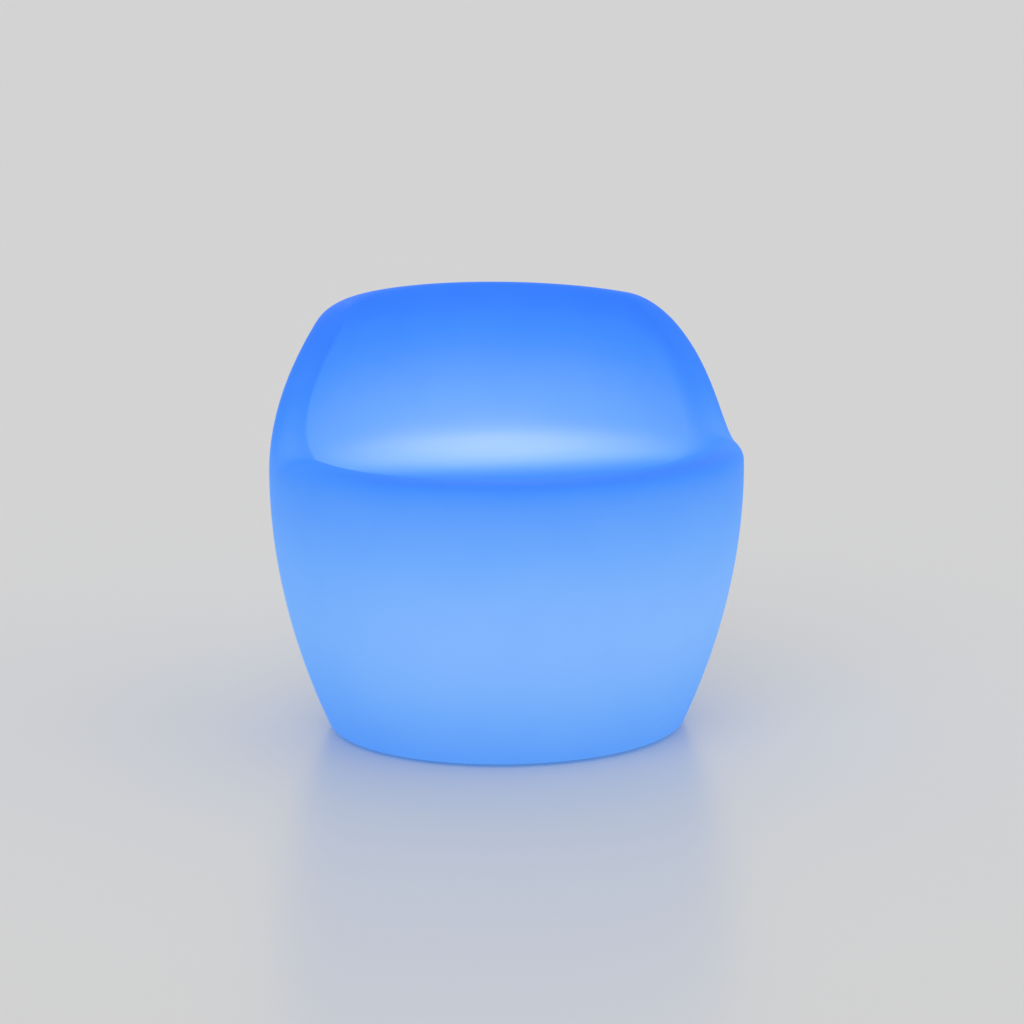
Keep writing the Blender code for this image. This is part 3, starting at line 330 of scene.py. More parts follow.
def add_node(tree, kind, links=None, **settings):
    """Adds a node, sets its properties, and fills its inputs from sockets or plain values."""
    node = tree.nodes.new(kind)
    for key, value in settings.items():
        setattr(node, key, value)
    for key, value in (links or {}).items():
        if isinstance(value, bpy.types.NodeSocket):
            tree.links.new(value, node.inputs[key])
        else:
            node.inputs[key].default_value = value
    return node


def new_material(name, colour, roughness, **sockets):
    """A Principled material whose plain values are set on the shader's own sockets. Their names
    have underscores for spaces here, and a colour is in hex."""
    material = bpy.data.materials.new(name)
    material.use_nodes = True
    tree = material.node_tree
    shader = tree.nodes["Principled BSDF"]
    for key, value in {"Base_Color": colour, "Roughness": roughness, **sockets}.items():
        plain = linear(value) if isinstance(value, str) else value
        shader.inputs[key.replace("_", " ")].default_value = plain
    material.diffuse_color = linear(colour)
    return material, tree, shader


def add_noise(tree, size, detail=2, stretch=(1, 1, 1)):
    """Noise whose grains are about one size across, in metres, drawn out along the axes."""
    here = add_node(tree, "ShaderNodeTexCoord").outputs["Object"]
    mapping = add_node(tree, "ShaderNodeMapping", {"Vector": here, "Scale": [1 / k for k in stretch]})
    noise = add_node(tree, "ShaderNodeTexNoise", {"Vector": mapping.outputs["Vector"],
                                                  "Scale": 1 / size, "Detail": detail})
    return noise.outputs["Fac"]


def roughen(tree, shader, height, depth):
    """Gives the shader a bump of this depth, in metres, from a height socket."""
    bump = add_node(tree, "ShaderNodeBump", {"Height": height, "Strength": 1.0, "Distance": depth})
    tree.links.new(bump.outputs["Normal"], shader.inputs["Normal"])


def vary(tree, shader, socket, factor, low, high):
    """Lets a number of the shader run from low to high with a factor."""
    spread = add_node(tree, "ShaderNodeMapRange", {"Value": factor, "To Min": low, "To Max": high})
    tree.links.new(spread.outputs["Result"], shader.inputs[socket])


def add_ramp(tree, factor, stops):
    """A colour that runs through (place, hex colour) stops with a factor."""
    ramp = add_node(tree, "ShaderNodeValToRGB", {"Fac": factor})
    elements = ramp.color_ramp.elements
    while len(elements) < len(stops):
        elements.new(1.0)
    for element, (position, colour) in zip(elements, stops):
        element.position = position
        element.color = linear(colour)
    return ramp.outputs["Color"]


def tones_over(tree, noise, tones, span=TONE_SPAN):
    """A colour that drifts through its tones, evenly over a span of a noise's values."""
    return add_ramp(tree, noise, list(zip(np.linspace(*span, len(tones)), tones)))


def tint(tree, shader, noise, tones, span=TONE_SPAN):
    """Lets the shader's colour drift through tones with a noise."""
    tree.links.new(tones_over(tree, noise, tones, span), shader.inputs["Base Color"])


# Surfaces

def smooth(share):
    """Eases from 0 to 1 with level ends."""
    share = np.clip(share, 0, 1)
    return share * share * (3 - 2 * share)


def blend(start, stop, share):
    return start + (stop - start) * share


def bell(distance, reach):
    """Falls from 1 towards 0 along a bell curve, to about a third at the reach."""
    return np.exp(-(distance / reach) ** 2)


def quarter(steps):
    """Pairs of shares along a quarter of a circle: one goes from 0 to 1 and starts level, the
    other from 1 to 0 and ends level."""
    return [(1 - math.cos(turn), 1 - math.sin(turn)) for turn in np.linspace(0, math.pi / 2, steps)]


def arc(radius, low, high, steps):
    """A profile of (radius, height) pairs that domes over from a radius to the axis."""
    return [(radius * math.cos(turn), blend(low, high, math.sin(turn)))
            for turn in np.linspace(0, math.pi / 2, steps)]


def run_on(points):
    """The points with one more before and after them, straight on."""
    return np.concatenate([2 * points[:1] - points[1:2], points, 2 * points[-1:] - points[-2:-1]])


def grid_mesh(rows, close_rows=False):
    """A mesh from rows of points that each run round the piece, counter-clockwise seen from above.
    Quads join every row to the next, which lies further up the outer side. Rows that shrink to
    one place become poles, because doubles are merged."""
    number = np.arange(rows[..., 0].size).reshape(rows.shape[:2])
    right = np.roll(number, -1, axis=1)
    above, above_right = np.roll(number, -1, axis=0), np.roll(right, -1, axis=0)
    quads = np.stack([number, right, above_right, above], axis=-1)
    quads = (quads if close_rows else quads[:-1]).reshape(-1, 4)
    mesh = bpy.data.meshes.new("surface")
    mesh.from_pydata(rows.reshape(-1, 3), [], quads)
    merged = bmesh.new()
    merged.from_mesh(mesh)
    bmesh.ops.remove_doubles(merged, verts=merged.verts, dist=MERGE_DISTANCE)
    bmesh.ops.dissolve_degenerate(merged, edges=merged.edges, dist=MERGE_DISTANCE)
    merged.to_mesh(mesh)
    merged.free()
    return mesh


def new_object(name, data):
    """An object in the scene."""
    item = bpy.data.objects.new(name, data)
    bpy.context.scene.collection.objects.link(item)
    return item


def place(node, mesh, material, body="stool"):
    """Puts a finished mesh in the scene, where it rides on a body and stands for its node. It is
    shaded smooth, with sharp edges where the surface folds."""
    mesh.name = node
    mesh.shade_smooth()
    mesh.set_sharp_from_angle(angle=SHARP_ANGLE)
    mesh.materials.clear()
    mesh.materials.append(material)
    piece = new_object(node + "_fine", mesh)
    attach(piece, body)
    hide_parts(node)


# Shapes that several pieces share

def rounded(corners):
    """A profile of (radius, height) pairs from corners. One with a third value is rounded over,
    by that much along both of its sides."""
    places = [np.array(corner[:2]) for corner in corners]
    profile = []
    for number, (here, corner) in enumerate(zip(places, corners)):
        if len(corner) == 2:
            profile.append(here)
            continue
        before, after = places[number - 1] - here, places[(number + 1) % len(places)] - here
        start = here + corner[2] * before / np.linalg.norm(before)
        stop = here + corner[2] * after / np.linalg.norm(after)
        profile += [(1 - share) ** 2 * start + 2 * (1 - share) * share * here + share ** 2 * stop
                    for share in np.linspace(0, 1, ROUNDING_STEPS + 1)]
    return profile


def even_angles(sides):
    return np.linspace(0, math.tau, sides, endpoint=False)


def round_rows(reach, height, x=0.0, y=0.0):
    """Rows of points round an upright axis. The reach has a row and a column for every point,
    and the columns stand at even angles."""
    angle = even_angles(reach.shape[1])
    return np.stack([x + reach * np.cos(angle), y + reach * np.sin(angle),
                     np.broadcast_to(height, reach.shape)], axis=-1)


def turned_rows(profile, sides, x=0.0, y=0.0):
    """Rows of a turned shape from (radius, height) pairs that run from its underside's middle
    out, up the outer side and in over the top."""
    radius, height = np.array(profile).T[..., None]
    return round_rows(np.repeat(radius, sides, axis=1), height, x, y)


def turned(corners, x=0.0, y=0.0, sides=ROUND_SIDES, closed=False):
    """A turned piece with rounded corners. A closed profile makes a ring."""
    return grid_mesh(turned_rows(rounded(corners), sides, x, y), closed)


def thread_rows(radius, low, high, pitch, depth, sides):
    """Rows of a right-handed thread about the origin: a triangle wave that climbs one pitch in
    every turn, sampled four times a pitch, and that eases in and out over its first and last."""
    height = np.linspace(low, high, int((high - low) / pitch * THREAD_SAMPLES) + 1)[:, None]
    wave = np.abs(2 * ((height / pitch - even_angles(sides) / math.tau) % 1) - 1)
    ease = np.minimum(1, np.minimum(height - low, high - height) / pitch)
    return round_rows(radius - depth * wave * ease, height)


def stepped(x, y, steps, sides=TOOL_SIDES):
    """Rows of an upright plug made of (radius, height) steps, with a flat end below and above."""
    return turned_rows([(0, steps[0][1]), *steps, (0, steps[-1][1])], sides, x, y)


def plug(x, y, radius, low, high, sides=TOOL_SIDES):
    return stepped(x, y, [(radius, low), (radius, high)], sides)


def bore(x, y, radius, low, high):
    """A plug that cuts a hole with a fit gap round its radius, right through from low to high."""
    return plug(x, y, radius + FIT_GAP, low - FIT_GAP, high + FIT_GAP)


def holes_in(node, radius, *others):
    """Bores through the whole height of a node's box, in the middles of other nodes."""
    return [bore(*spot(other), radius, *extent(node)[2:4]) for other in others]


def outline(width, depth, corner):
    """A rounded rectangle about the origin, counter-clockwise."""
    points = []
    for number, (x, y) in enumerate(((1, -1), (1, 1), (-1, 1), (-1, -1))):
        for turn in np.linspace(0, math.pi / 2, CORNER_STEPS + 1) + (number - 1) * math.pi / 2:
            points.append((x * (width / 2 - corner) + corner * math.cos(turn),
                           y * (depth / 2 - corner) + corner * math.sin(turn)))
    return np.array(points)


def capped(rows, first, last):
    """Rows with a flat end before and after them, each drawn in to a point."""
    return np.array([np.full_like(rows[0], first), *rows, np.full_like(rows[0], last)])


def lifted(ring, height):
    return np.column_stack([ring, np.full(len(ring), height)])


def slab_rows(width, depth, low, high, corner, edge, x=0.0, y=0.0):
    """Rows of a rounded rectangular slab: its edges above and below are rounded too."""
    edges = quarter(ROUNDING_STEPS + 1)
    rings = [(edge * back, low + edge * rise) for rise, back in edges]
    rings += [(edge * back, high - edge * rise) for rise, back in edges[::-1]]
    rows = [lifted(outline(width - 2 * inset, depth - 2 * inset, corner - inset) + (x, y), height)
            for inset, height in rings]
    return capped(rows, (x, y, low), (x, y, high))


def swept(path, section, side=(0, 1, 0)):
    """A section of (sideways, upwards) pairs, carried along a path without twisting."""
    path, side = np.array(path), np.array(side, float)
    rows = []
    for point, tangent in zip(path, np.gradient(path, axis=0)):
        tangent = tangent / np.linalg.norm(tangent)
        side = side - tangent * np.dot(side, tangent)
        side /= np.linalg.norm(side)
        rows.append(point + section[:, :1] * side + section[:, 1:] * np.cross(tangent, side))
    return grid_mesh(capped(rows, path[0], path[-1]))


def curve_points(route, steps):
    """Points of a Catmull-Rom curve through a route."""
    route = np.array(route)
    ends = run_on(route)
    points = []
    for before, start, stop, after in zip(ends, ends[1:], ends[2:], ends[3:]):
        for share in np.linspace(0, 1, steps, endpoint=False):
            points.append(start + share * (stop - before) / 2
                          + share ** 2 * (before - 5 / 2 * start + 2 * stop - after / 2)
                          + share ** 3 * (3 * start - before - 3 * stop + after) / 2)
    return [*points, route[-1]]


def hexagon_reach(sides, across_corners):
    """How far a hexagon with corners on the Y axis reaches at even angles."""
    sixth = math.tau / 6
    from_flat = (even_angles(sides) + sixth / 2) % sixth - sixth / 2
    return across_corners / 2 * math.cos(sixth / 2) / np.cos(from_flat)


def laid_down(rows, y, z):
    """Turns rows about an upright axis into rows about a level axis along X."""
    return np.stack([rows[..., 2], rows[..., 1] + y, z - rows[..., 0]], axis=-1)


def mark(mesh, name, values):
    """Stores a number on every point of a mesh, for its material to read."""
    attribute = mesh.attributes.new(name, "FLOAT", "POINT")
    attribute.data.foreach_set("value", np.asarray(values, np.float32))


def places_of(mesh):
    return np.array([vertex.co for vertex in mesh.vertices])


def combine(mesh, tools, operation):
    """A new mesh: the old one with closed tools joined on to it or cut out of it."""
    gathered = bmesh.new()
    for rows in tools:
        part = grid_mesh(rows)
        gathered.from_mesh(part)
        bpy.data.meshes.remove(part)
    tool_mesh = bpy.data.meshes.new("tools")
    gathered.to_mesh(tool_mesh)
    gathered.free()
    piece, tool = new_object("piece", mesh), new_object("tools", tool_mesh)
    step = piece.modifiers.new(operation, "BOOLEAN")
    step.operation = operation
    step.solver = "MANIFOLD"
    step.object = tool
    evaluated = piece.evaluated_get(bpy.context.evaluated_depsgraph_get())
    made = bpy.data.meshes.new_from_object(evaluated)
    bpy.data.objects.remove(piece)
    bpy.data.objects.remove(tool)
    return made


def cut(mesh, *tools):
    return combine(mesh, tools, "DIFFERENCE")


def extent(node):
    """A node's box: its middle seen from above, its lowest and highest level, half its width."""
    low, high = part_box(node)
    return (low.x + high.x) / 2, (low.y + high.y) / 2, low.z, high.z, (high.x - low.x) / 2


def spot(node):
    return extent(node)[:2]


def disc(node, edge):
    """A round plate that fills the box of a node on the stool's axis."""
    low, high, radius = extent(node)[2:]
    return turned([(0, low), (radius, low, edge), (radius, high, edge), (0, high)], sides=WIDE_SIDES)


def block(node, corner, edge, top=None):
    """A rounded slab that fills a node's box, or fills it up to a given level."""
    low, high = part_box(node)
    return grid_mesh(slab_rows(high.x - low.x, high.y - low.y, low.z, top or high.z, corner, edge,
                               *spot(node)))


# The shell

def barrel_size(base, girth, top, height):
    """Half the barrel's width or depth at a height: it falls off with the square of the distance
    below or above the girth."""
    below = np.clip((GIRTH_HEIGHT - height) / GIRTH_HEIGHT, 0, 1) ** 2
    above = np.clip((height - GIRTH_HEIGHT) / (STOOL_HEIGHT - GIRTH_HEIGHT), 0, 1) ** 2
    return (girth - (girth - base) * below - (girth - top) * above) / 2


def on_barrel(angle, height, inset):
    """Points of the barrel: an ellipse at each height, moved inwards by the inset.
    The angle runs from the middle of the front to the middle of the back."""
    angle, height, inset = np.broadcast_arrays(angle, height, inset)
    side = barrel_size(BASE_WIDTH, STOOL_WIDTH, TOP_WIDTH, height) - inset
    depth = barrel_size(BASE_DEPTH, STOOL_DEPTH, TOP_DEPTH, height) - inset
    return np.stack([side * np.sin(angle), -depth * np.cos(angle), height], axis=-1)


def on_circle(angle, height, radius):
    """Points of a level circle about the stool's axis."""
    angle, height = np.broadcast_arrays(angle, height)
    return np.stack([radius * np.sin(angle), -radius * np.cos(angle), height], axis=-1)


def rim_line(count):
    """The rim from the middle of the front to the middle of the back, with the barrel unrolled.

    It runs level at the seat's height, climbs one cubic Bezier curve up the edge of the wing and
    runs level along the top. Its columns crowd together on that climb. Returns each column's
    angle round the barrel, its height, its outward normal there, and the length of rim between
    it and the start of the climb.
    """
    girth = (STOOL_WIDTH + STOOL_DEPTH) / 4
    start, stop, end = WING_START_ANGLE * girth, WING_TOP_ANGLE * girth, math.pi * girth
    handles = np.array([(start, SEAT_HEIGHT), (start + WING_FOOT_REACH, SEAT_HEIGHT),
                        (stop - WING_TOP_REACH, STOOL_HEIGHT), (stop, STOOL_HEIGHT)])
    share = np.linspace(0, 1, CLIMB_STEPS)[:, None]
    climb = ((1 - share) ** 3 * handles[0] + 3 * (1 - share) ** 2 * share * handles[1]
             + 3 * (1 - share) * share ** 2 * handles[2] + share ** 3 * handles[3])
    front = blend(np.array([0, SEAT_HEIGHT]), handles[0], share)
    back = blend(handles[3], np.array([end, STOOL_HEIGHT]), share)
    line = np.concatenate([front[:-1], climb, back[1:]])
    steps = np.linalg.norm(np.diff(line, axis=0), axis=1)
    length = np.concatenate([[0], np.cumsum(steps)])
    middle = length[len(front) + len(climb) // 2]
    width = CROWD_WIDTH_SHARE * (length[len(front) + len(climb) - 2] - length[len(front) - 1])
    crowd = 1 + CROWD_SHARE * bell(length - middle, width)
    station = np.concatenate([[0], np.cumsum(steps * (crowd[1:] + crowd[:-1]) / 2)])
    wanted = np.linspace(0, station[-1], count)
    tangent = np.gradient(line, length, axis=0)
    along, height = (np.interp(wanted, station, line[:, k]) for k in (0, 1))
    right, up = (np.interp(wanted, station, tangent[:, k]) for k in (0, 1))
    scale = np.hypot(right, up)
    past = np.interp(wanted, station, length) - length[len(front) - 1]
    return along / girth, height, -up / scale / girth, right / scale, past


def dish(x, y):
    """The seat's height at a place: just under the lip in front, sunk towards the back."""
    front = STOOL_DEPTH / 2 - RIM_WIDTH
    reach = STOOL_DEPTH - 2 * RIM_WIDTH - SEAT_FILLET_REACH
    return SEAT_HEIGHT - LIP_DROP - SEAT_SINK * smooth((front + y) / reach)


def spline_rows(rings, count):
    """Rows of a uniform cubic B-spline whose control points are the rings, down every column."""
    rings = run_on(rings)
    station = np.linspace(0, len(rings) - 3, count)
    first = np.minimum(station.astype(int), len(rings) - 4)
    share = (station - first)[:, None, None]
    return ((1 - share) ** 3 * rings[first]
            + (3 * share ** 3 - 6 * share ** 2 + 4) * rings[first + 1]
            + (-3 * share ** 3 + 3 * share ** 2 + 3 * share + 1) * rings[first + 2]
            + share ** 3 * rings[first + 3]) / 6


def underside_rows(even):
    """From the port's edge over the recess roof and wall and the flat base to the outer edge."""
    rows = [on_circle(even, RECESS_Z, PORT_RADIUS)]
    turns = quarter(EDGE_ROWS)
    rows += [on_circle(even, RECESS_Z - RECESS_ROUND * rise, RECESS_RADIUS - RECESS_ROUND * back)
             for rise, back in turns]
    rows += [on_circle(even, BASE_Z + RECESS_ROUND * back, RECESS_RADIUS + RECESS_ROUND * rise)
             for rise, back in turns]
    start, stop = rows[-1], on_barrel(even, BASE_Z, BASE_EDGE_ROUND)
    rows += [blend(start, stop, share) for share in np.linspace(0, 1, BASE_ROWS)[1:-1]]
    rows += [on_barrel(even, BASE_Z + BASE_EDGE_ROUND * rise, BASE_EDGE_ROUND * back)
             for rise, back in turns[:-1]]
    return rows


def skin_rows(count):
    """The outer skin of the right half as rows of columns, from the port to the seat's middle.

    The wall rises up the barrel while its columns fan out from even angles to those of the rim.
    The rim's nose is a quarter of an ellipse on the outside. Inside, every column is a B-spline
    over the crest of the rim, down the bowl's wall, round its foot and out over the seat; in
    front, where there is no wall, the same rings lie along the lip.
    """
    angle, height, lean, rise, past = rim_line(count)
    even = np.linspace(0, math.pi, count)
    rows = underside_rows(even)
    outer_angle, outer_height = angle - RIM_ROUND * lean, height - RIM_ROUND * rise
    for share in np.linspace(0, 1, WALL_ROWS):
        rows.append(on_barrel(blend(even, outer_angle, smooth(share)),
                              blend(BASE_Z + BASE_EDGE_ROUND, outer_height, share), 0))
    for inwards, back in quarter(NOSE_ROWS + 1)[1:]:
        rows.append(on_barrel(angle - RIM_ROUND * back * lean, height - RIM_ROUND * back * rise,
                              RIM_WIDTH / 2 * inwards))

    wing = smooth((past + WING_EASE_FRONT) / (WING_EASE_FRONT + WING_EASE_BACK))
    first = np.argmax(past > 0)
    behind = np.clip((np.arange(count) - first) / (count - 1 - first), 0, 1)
    foot = np.where(past > 0, blend(angle[first], math.pi, behind), angle)
    inset = RIM_WIDTH + SEAT_FILLET_REACH
    edge = on_barrel(foot, SEAT_HEIGHT, inset)
    floor = dish(edge[:, 0], edge[:, 1])
    fillet = np.minimum(SEAT_FILLET_HEIGHT, (height - floor) / 2)
    roll_angle = angle - RIM_ROLL_SHARE * RIM_ROUND * lean * wing
    roll_height = height - RIM_ROLL_SHARE * RIM_ROUND * rise * wing
    wall = [(roll_angle, roll_height, 0),
            (blend(roll_angle, foot, 1 / 2), blend(roll_height, floor + fillet, 1 / 2), 0),
            (foot, floor + fillet, 0),
            (foot, floor, FOOT_CORNER_SHARE * SEAT_FILLET_REACH)]
    rings = [on_barrel(angle, height, RIM_WIDTH / 2),
             on_barrel(angle, height, RIM_WIDTH * RIM_CORNER_SHARE)]
    for (ring_angle, ring_height, ring_inset), share in zip(wall, BOWL_INSET_SHARES):
        lip_height = floor + (height - floor) * (1 - smooth(share))
        rings.append(on_barrel(ring_angle, blend(lip_height, ring_height, wing),
                               RIM_WIDTH + blend(SEAT_FILLET_REACH * share, ring_inset, wing)))
    rings.append(on_barrel(foot, floor, inset))
    for share in SEAT_RING_SHARES:
        x, y = share * rings[-1][:, 0], share * rings[-1][:, 1]
        rings.append(np.stack([x, y, dish(x, y)], axis=-1))
    rows.extend(spline_rows(np.array(rings), BOWL_ROWS)[1:])

    last = rows[-1]
    lift = last[:, 2] - dish(last[:, 0], last[:, 1])
    for share in np.linspace(1, 0, SEAT_ROWS + 1)[1:]:
        x, y = share * last[:, 0], share * last[:, 1]
        rows.append(np.stack([x, y, dish(x, y) + lift * share ** 2], axis=-1))
    return np.array(rows)


def inner_rows(outer):
    """The inside of the wall: every point of the skin moved inwards along the skin's normal.
    The corner inside the foot of the recess is tighter than the wall is thick, so it is square."""
    across = np.roll(outer, -1, axis=1) - np.roll(outer, 1, axis=1)
    normal = np.cross(across, np.gradient(outer, axis=0))
    normal[0], normal[-1] = (0, 0, -1), (0, 0, 1)
    inner = outer - SHELL_WALL * normal / np.linalg.norm(normal, axis=-1, keepdims=True)
    corner = inner[1 + EDGE_ROWS:3 * EDGE_ROWS]
    radius = np.hypot(corner[..., 0], corner[..., 1])
    spread = np.maximum(radius, RECESS_RADIUS + SHELL_WALL) / radius
    corner[..., :2] *= spread[..., None]
    corner[..., 2] = np.maximum(corner[..., 2], BASE_Z + SHELL_WALL)
    return inner


def shell_mesh():
    """The moulded body: the skin, the inside of its wall, the bosses, and the pockets that the
    feet and the inserts sit in."""
    half = skin_rows(HALF_COLUMNS + 1)
    outer = np.concatenate([half, half[:, -2:0:-1] * (-1, 1, 1)], axis=1)
    rows = np.concatenate([outer, inner_rows(outer)[::-1]])
    half_wall = SHELL_WALL / 2
    foot_top, insert_top = FOOT_TOP + FIT_GAP, INSERT_TOP + FIT_GAP
    bosses = [plug(x, y, FOOT_BOSS_RADIUS, BASE_Z + half_wall, FOOT_BOSS_TOP) for x, y in FOOT_PLACES]
    bosses += [plug(x, y, INSERT_BOSS_RADIUS, RECESS_Z + half_wall, insert_top + INSERT_BOSS_CAP)
               for x, y in INSERT_PLACES]
    pockets = [stepped(x, y, [(FOOT_RADIUS + FIT_GAP, 0), (FOOT_RADIUS + FIT_GAP, foot_top),
                              (SCREW_BORE, foot_top), (SCREW_BORE, FOOT_SCREW_TOP)])
               for x, y in FOOT_PLACES]
    pockets += [plug(x, y, INSERT_RADIUS + FIT_GAP, RECESS_Z - half_wall, insert_top)
                for x, y in INSERT_PLACES]
    return cut(combine(grid_mesh(rows, close_rows=True), bosses, "UNION"), *pockets)


def crest_distance(points):
    """How far each point is from the line along the top of the rim."""
    angle, height = rim_line(HALF_COLUMNS + 1)[:2]
    crest = on_barrel(angle, height, RIM_WIDTH / 2)
    tree = KDTree(len(crest))
    for number, point in enumerate(crest):
        tree.insert(point, number)
    tree.balance()
    return np.array([tree.find((abs(x), y, z))[2] for x, y, z in points])


def glow_level(points, normals):
    """How much green light the shell gives off at each point, which its colours are read from.

    The outer wall follows a bell curve over its height: it is brightest across from the lamp,
    and a little dimmer at the sides, which lie further off. The seat's floor, right over the
    lamp, is the palest place and fades out with the distance from its middle. The inside of the
    back gets its light from the floor, and fades with the distance and with the height. The
    inside takes over from the outside across the rim, and the lip in front lies in shade. A
    soft glow lies round the foot of each wing, along the crest of the rim. The underside
    brightens towards the lamp.
    """
    x, y, z = points.T
    side = barrel_size(BASE_WIDTH, STOOL_WIDTH, TOP_WIDTH, z)
    depth = barrel_size(BASE_DEPTH, STOOL_DEPTH, TOP_DEPTH, z)
    inset = (1 - np.hypot(x / side, y / depth)) * side
    crest = crest_distance(points)

    fade = np.where(z > WALL_GLOW_Z, WALL_GLOW_ABOVE, WALL_GLOW_BELOW)
    wall = WALL_GLOW * bell(z - WALL_GLOW_Z, fade)
    wall *= 1 - SIDE_FADE_SHARE * np.clip(np.abs(x) / side, 0, 1) ** 4
    distance = np.hypot(x - FLOOR_GLOW_PLACE[0], y - FLOOR_GLOW_PLACE[1])
    climb = np.maximum(z - SEAT_HEIGHT + LIP_DROP, 0)
    floor = FLOOR_GLOW * (1 - smooth(distance / FLOOR_GLOW_REACH)) * bell(climb, RIM_WIDTH)
    distance = np.hypot(x - BACK_GLOW_PLACE[0], y - BACK_GLOW_PLACE[1])
    climb = np.maximum(z - BACK_GLOW_Z, 0)
    back = BACK_GLOW * bell(distance, BACK_GLOW_REACH) * bell(climb, BACK_GLOW_FADE)
    bowl = blend(back, floor, smooth(normals[:, 2]))
    above = z > RECESS_Z + SHELL_WALL
    inside = np.where(above & (inset > RIM_WIDTH / 2), smooth(crest / INSIDE_REACH), 0)
    wall += np.where(above, 0, UNDERSIDE_GLOW * smooth(inset / UNDERSIDE_GLOW_REACH))
    lip = LIP_SHADE * bell(crest, LIP_SHADE_REACH)
    lip *= smooth((LIP_SHADE_BACK - y) / LIP_SHADE_EASE)
    distance = np.linalg.norm(np.column_stack([np.abs(x), y, z]) - WING_FOOT_PLACE, axis=1)
    foot = WING_FOOT_GLOW * bell(distance, WING_FOOT_REACH_ROUND) * bell(crest, WING_FOOT_REACH_ACROSS)
    return LEAST_GLOW + blend(wall, bowl, inside) - lip + foot


def polyethylene():
    """Rotationally moulded polyethylene, lit from inside: translucent, so that it glows, with a
    satin skin that has the faint orange peel of the mould."""
    material, tree, shader = new_material("moulded_polyethylene", SHELL_DEEP, SHELL_ROUGHNESS,
                                          Specular_IOR_Level=SHELL_SPECULAR, IOR=SHELL_IOR,
                                          Emission_Strength=1.0)
    cloud = add_node(tree, "ShaderNodeMapRange", {"Value": add_noise(tree, CLOUD_SIZE, 3),
                                                  "To Min": -CLOUD_SHARE, "To Max": CLOUD_SHARE})
    glow = add_node(tree, "ShaderNodeAttribute", attribute_name="glow")
    level = add_node(tree, "ShaderNodeMath", {0: glow.outputs["Fac"], 1: cloud.outputs["Result"]},
                     operation="ADD")
    colour = add_ramp(tree, level.outputs["Value"], GLOW_COLOURS)
    tree.links.new(colour, shader.inputs["Emission Color"])
    roughen(tree, shader, add_noise(tree, PEEL_SIZE), PEEL_DEPTH)
    return material


def build_shell():
    """The shell, with its glow stored on its points."""
    mesh = shell_mesh()
    level = glow_level(places_of(mesh), np.array([normal.vector for normal in mesh.vertex_normals]))
    mark(mesh, "glow", (level - DIMMEST_GLOW) / (BRIGHTEST_GLOW - DIMMEST_GLOW))
    place("shell", mesh, polyethylene())


# Materials of the small pieces

def grained(name, colour, tones, drift, grain, roughness, relief, span=TONE_SPAN, **sockets):
    """A material whose colour drifts through its tones with one noise, while its roughness,
    between two limits, and its relief, in metres, follow a finer one, or the same. A noise is its
    size in metres, its detail and, where it is drawn out, its stretch."""
    material, tree, shader = new_material(name, colour, sum(roughness) / 2, **sockets)
    coarse = add_noise(tree, *drift)
    fine = add_noise(tree, *grain) if grain else coarse
    tint(tree, shader, coarse, tones, span)
    vary(tree, shader, "Roughness", fine, *roughness)
    roughen(tree, shader, fine, relief)
    return material


def moulded_rubber(name, colour):
    """Moulded rubber: matt and nearly black, with faint paler patches and a fine grain."""
    return grained(name, colour, [colour, "#3A3A3C"], drift=(0.006, 3), grain=(0.0004, 3),
                   roughness=(0.62, 0.84), relief=0.00004, span=(0.25, 0.8), Specular_IOR_Level=0.35)


def plated_steel():
    """Zinc-plated steel: bright, faintly yellow and blue by turns, with a fine haze."""
    return grained("zinc_plated_steel", "#C9CBC8", ["#BFC6CC", "#CDCDC8", "#D2CCB8"],
                   drift=(0.003, 3), grain=(0.0005, 4), roughness=(0.22, 0.42), relief=0.000008,
                   Metallic=1.0)


def turned_brass():
    """Turned brass: warm yellow where it isn't tarnished, with fine rings from the tool."""
    material, tree, shader = new_material("turned_brass", "#C9A25A", 0.28, Metallic=1.0)
    tarnish = add_noise(tree, 0.003, 3)
    tint(tree, shader, tarnish, ["#B8924C", "#D6B06A"])
    vary(tree, shader, "Roughness", tarnish, 0.22, 0.40)
    roughen(tree, shader, add_noise(tree, 0.0006, stretch=(12, 12, 1)), 0.000015)
    return material


def moulded_plastic(name, colour, paler, roughness, grain_size):
    """Injection-moulded plastic: an even colour and a fine spark-eroded grain."""
    return grained(name, colour, [colour, paler], drift=(0.03, 2), grain=(grain_size, 2),
                   roughness=(roughness - 0.06, roughness + 0.08), relief=grain_size / 16)


def silicone():
    """Moulded silicone: soft, slightly see-through grey with a bloom of dust."""
    return grained("moulded_silicone", "#C4C4C0", ["#BDBDB9", "#CFCFCB"], drift=(0.004, 3), grain=None,
                   roughness=(0.52, 0.72), relief=0.00002, Subsurface_Weight=0.2,
                   Subsurface_Scale=0.002)


def marked_metal(name, colour, paler, roughness, metal):
    """A moulded or wrapped piece whose marked parts, such as a contact, are bare metal."""
    material, tree, shader = new_material(name, colour, roughness)
    share = add_node(tree, "ShaderNodeAttribute", attribute_name="metal").outputs["Fac"]
    flow = add_noise(tree, 0.008, 3)
    body = tones_over(tree, flow, [colour, paler])
    mixed = add_node(tree, "ShaderNodeMix", {"Factor": share, "A": body, "B": linear(metal)},
                     data_type="RGBA")
    tree.links.new(mixed.outputs["Result"], shader.inputs["Base Color"])
    vary(tree, shader, "Metallic", share, 0.0, 1.0)
    vary(tree, shader, "Roughness", flow, roughness - 0.06, roughness + 0.06)
    roughen(tree, shader, flow, 0.00003)
    return material


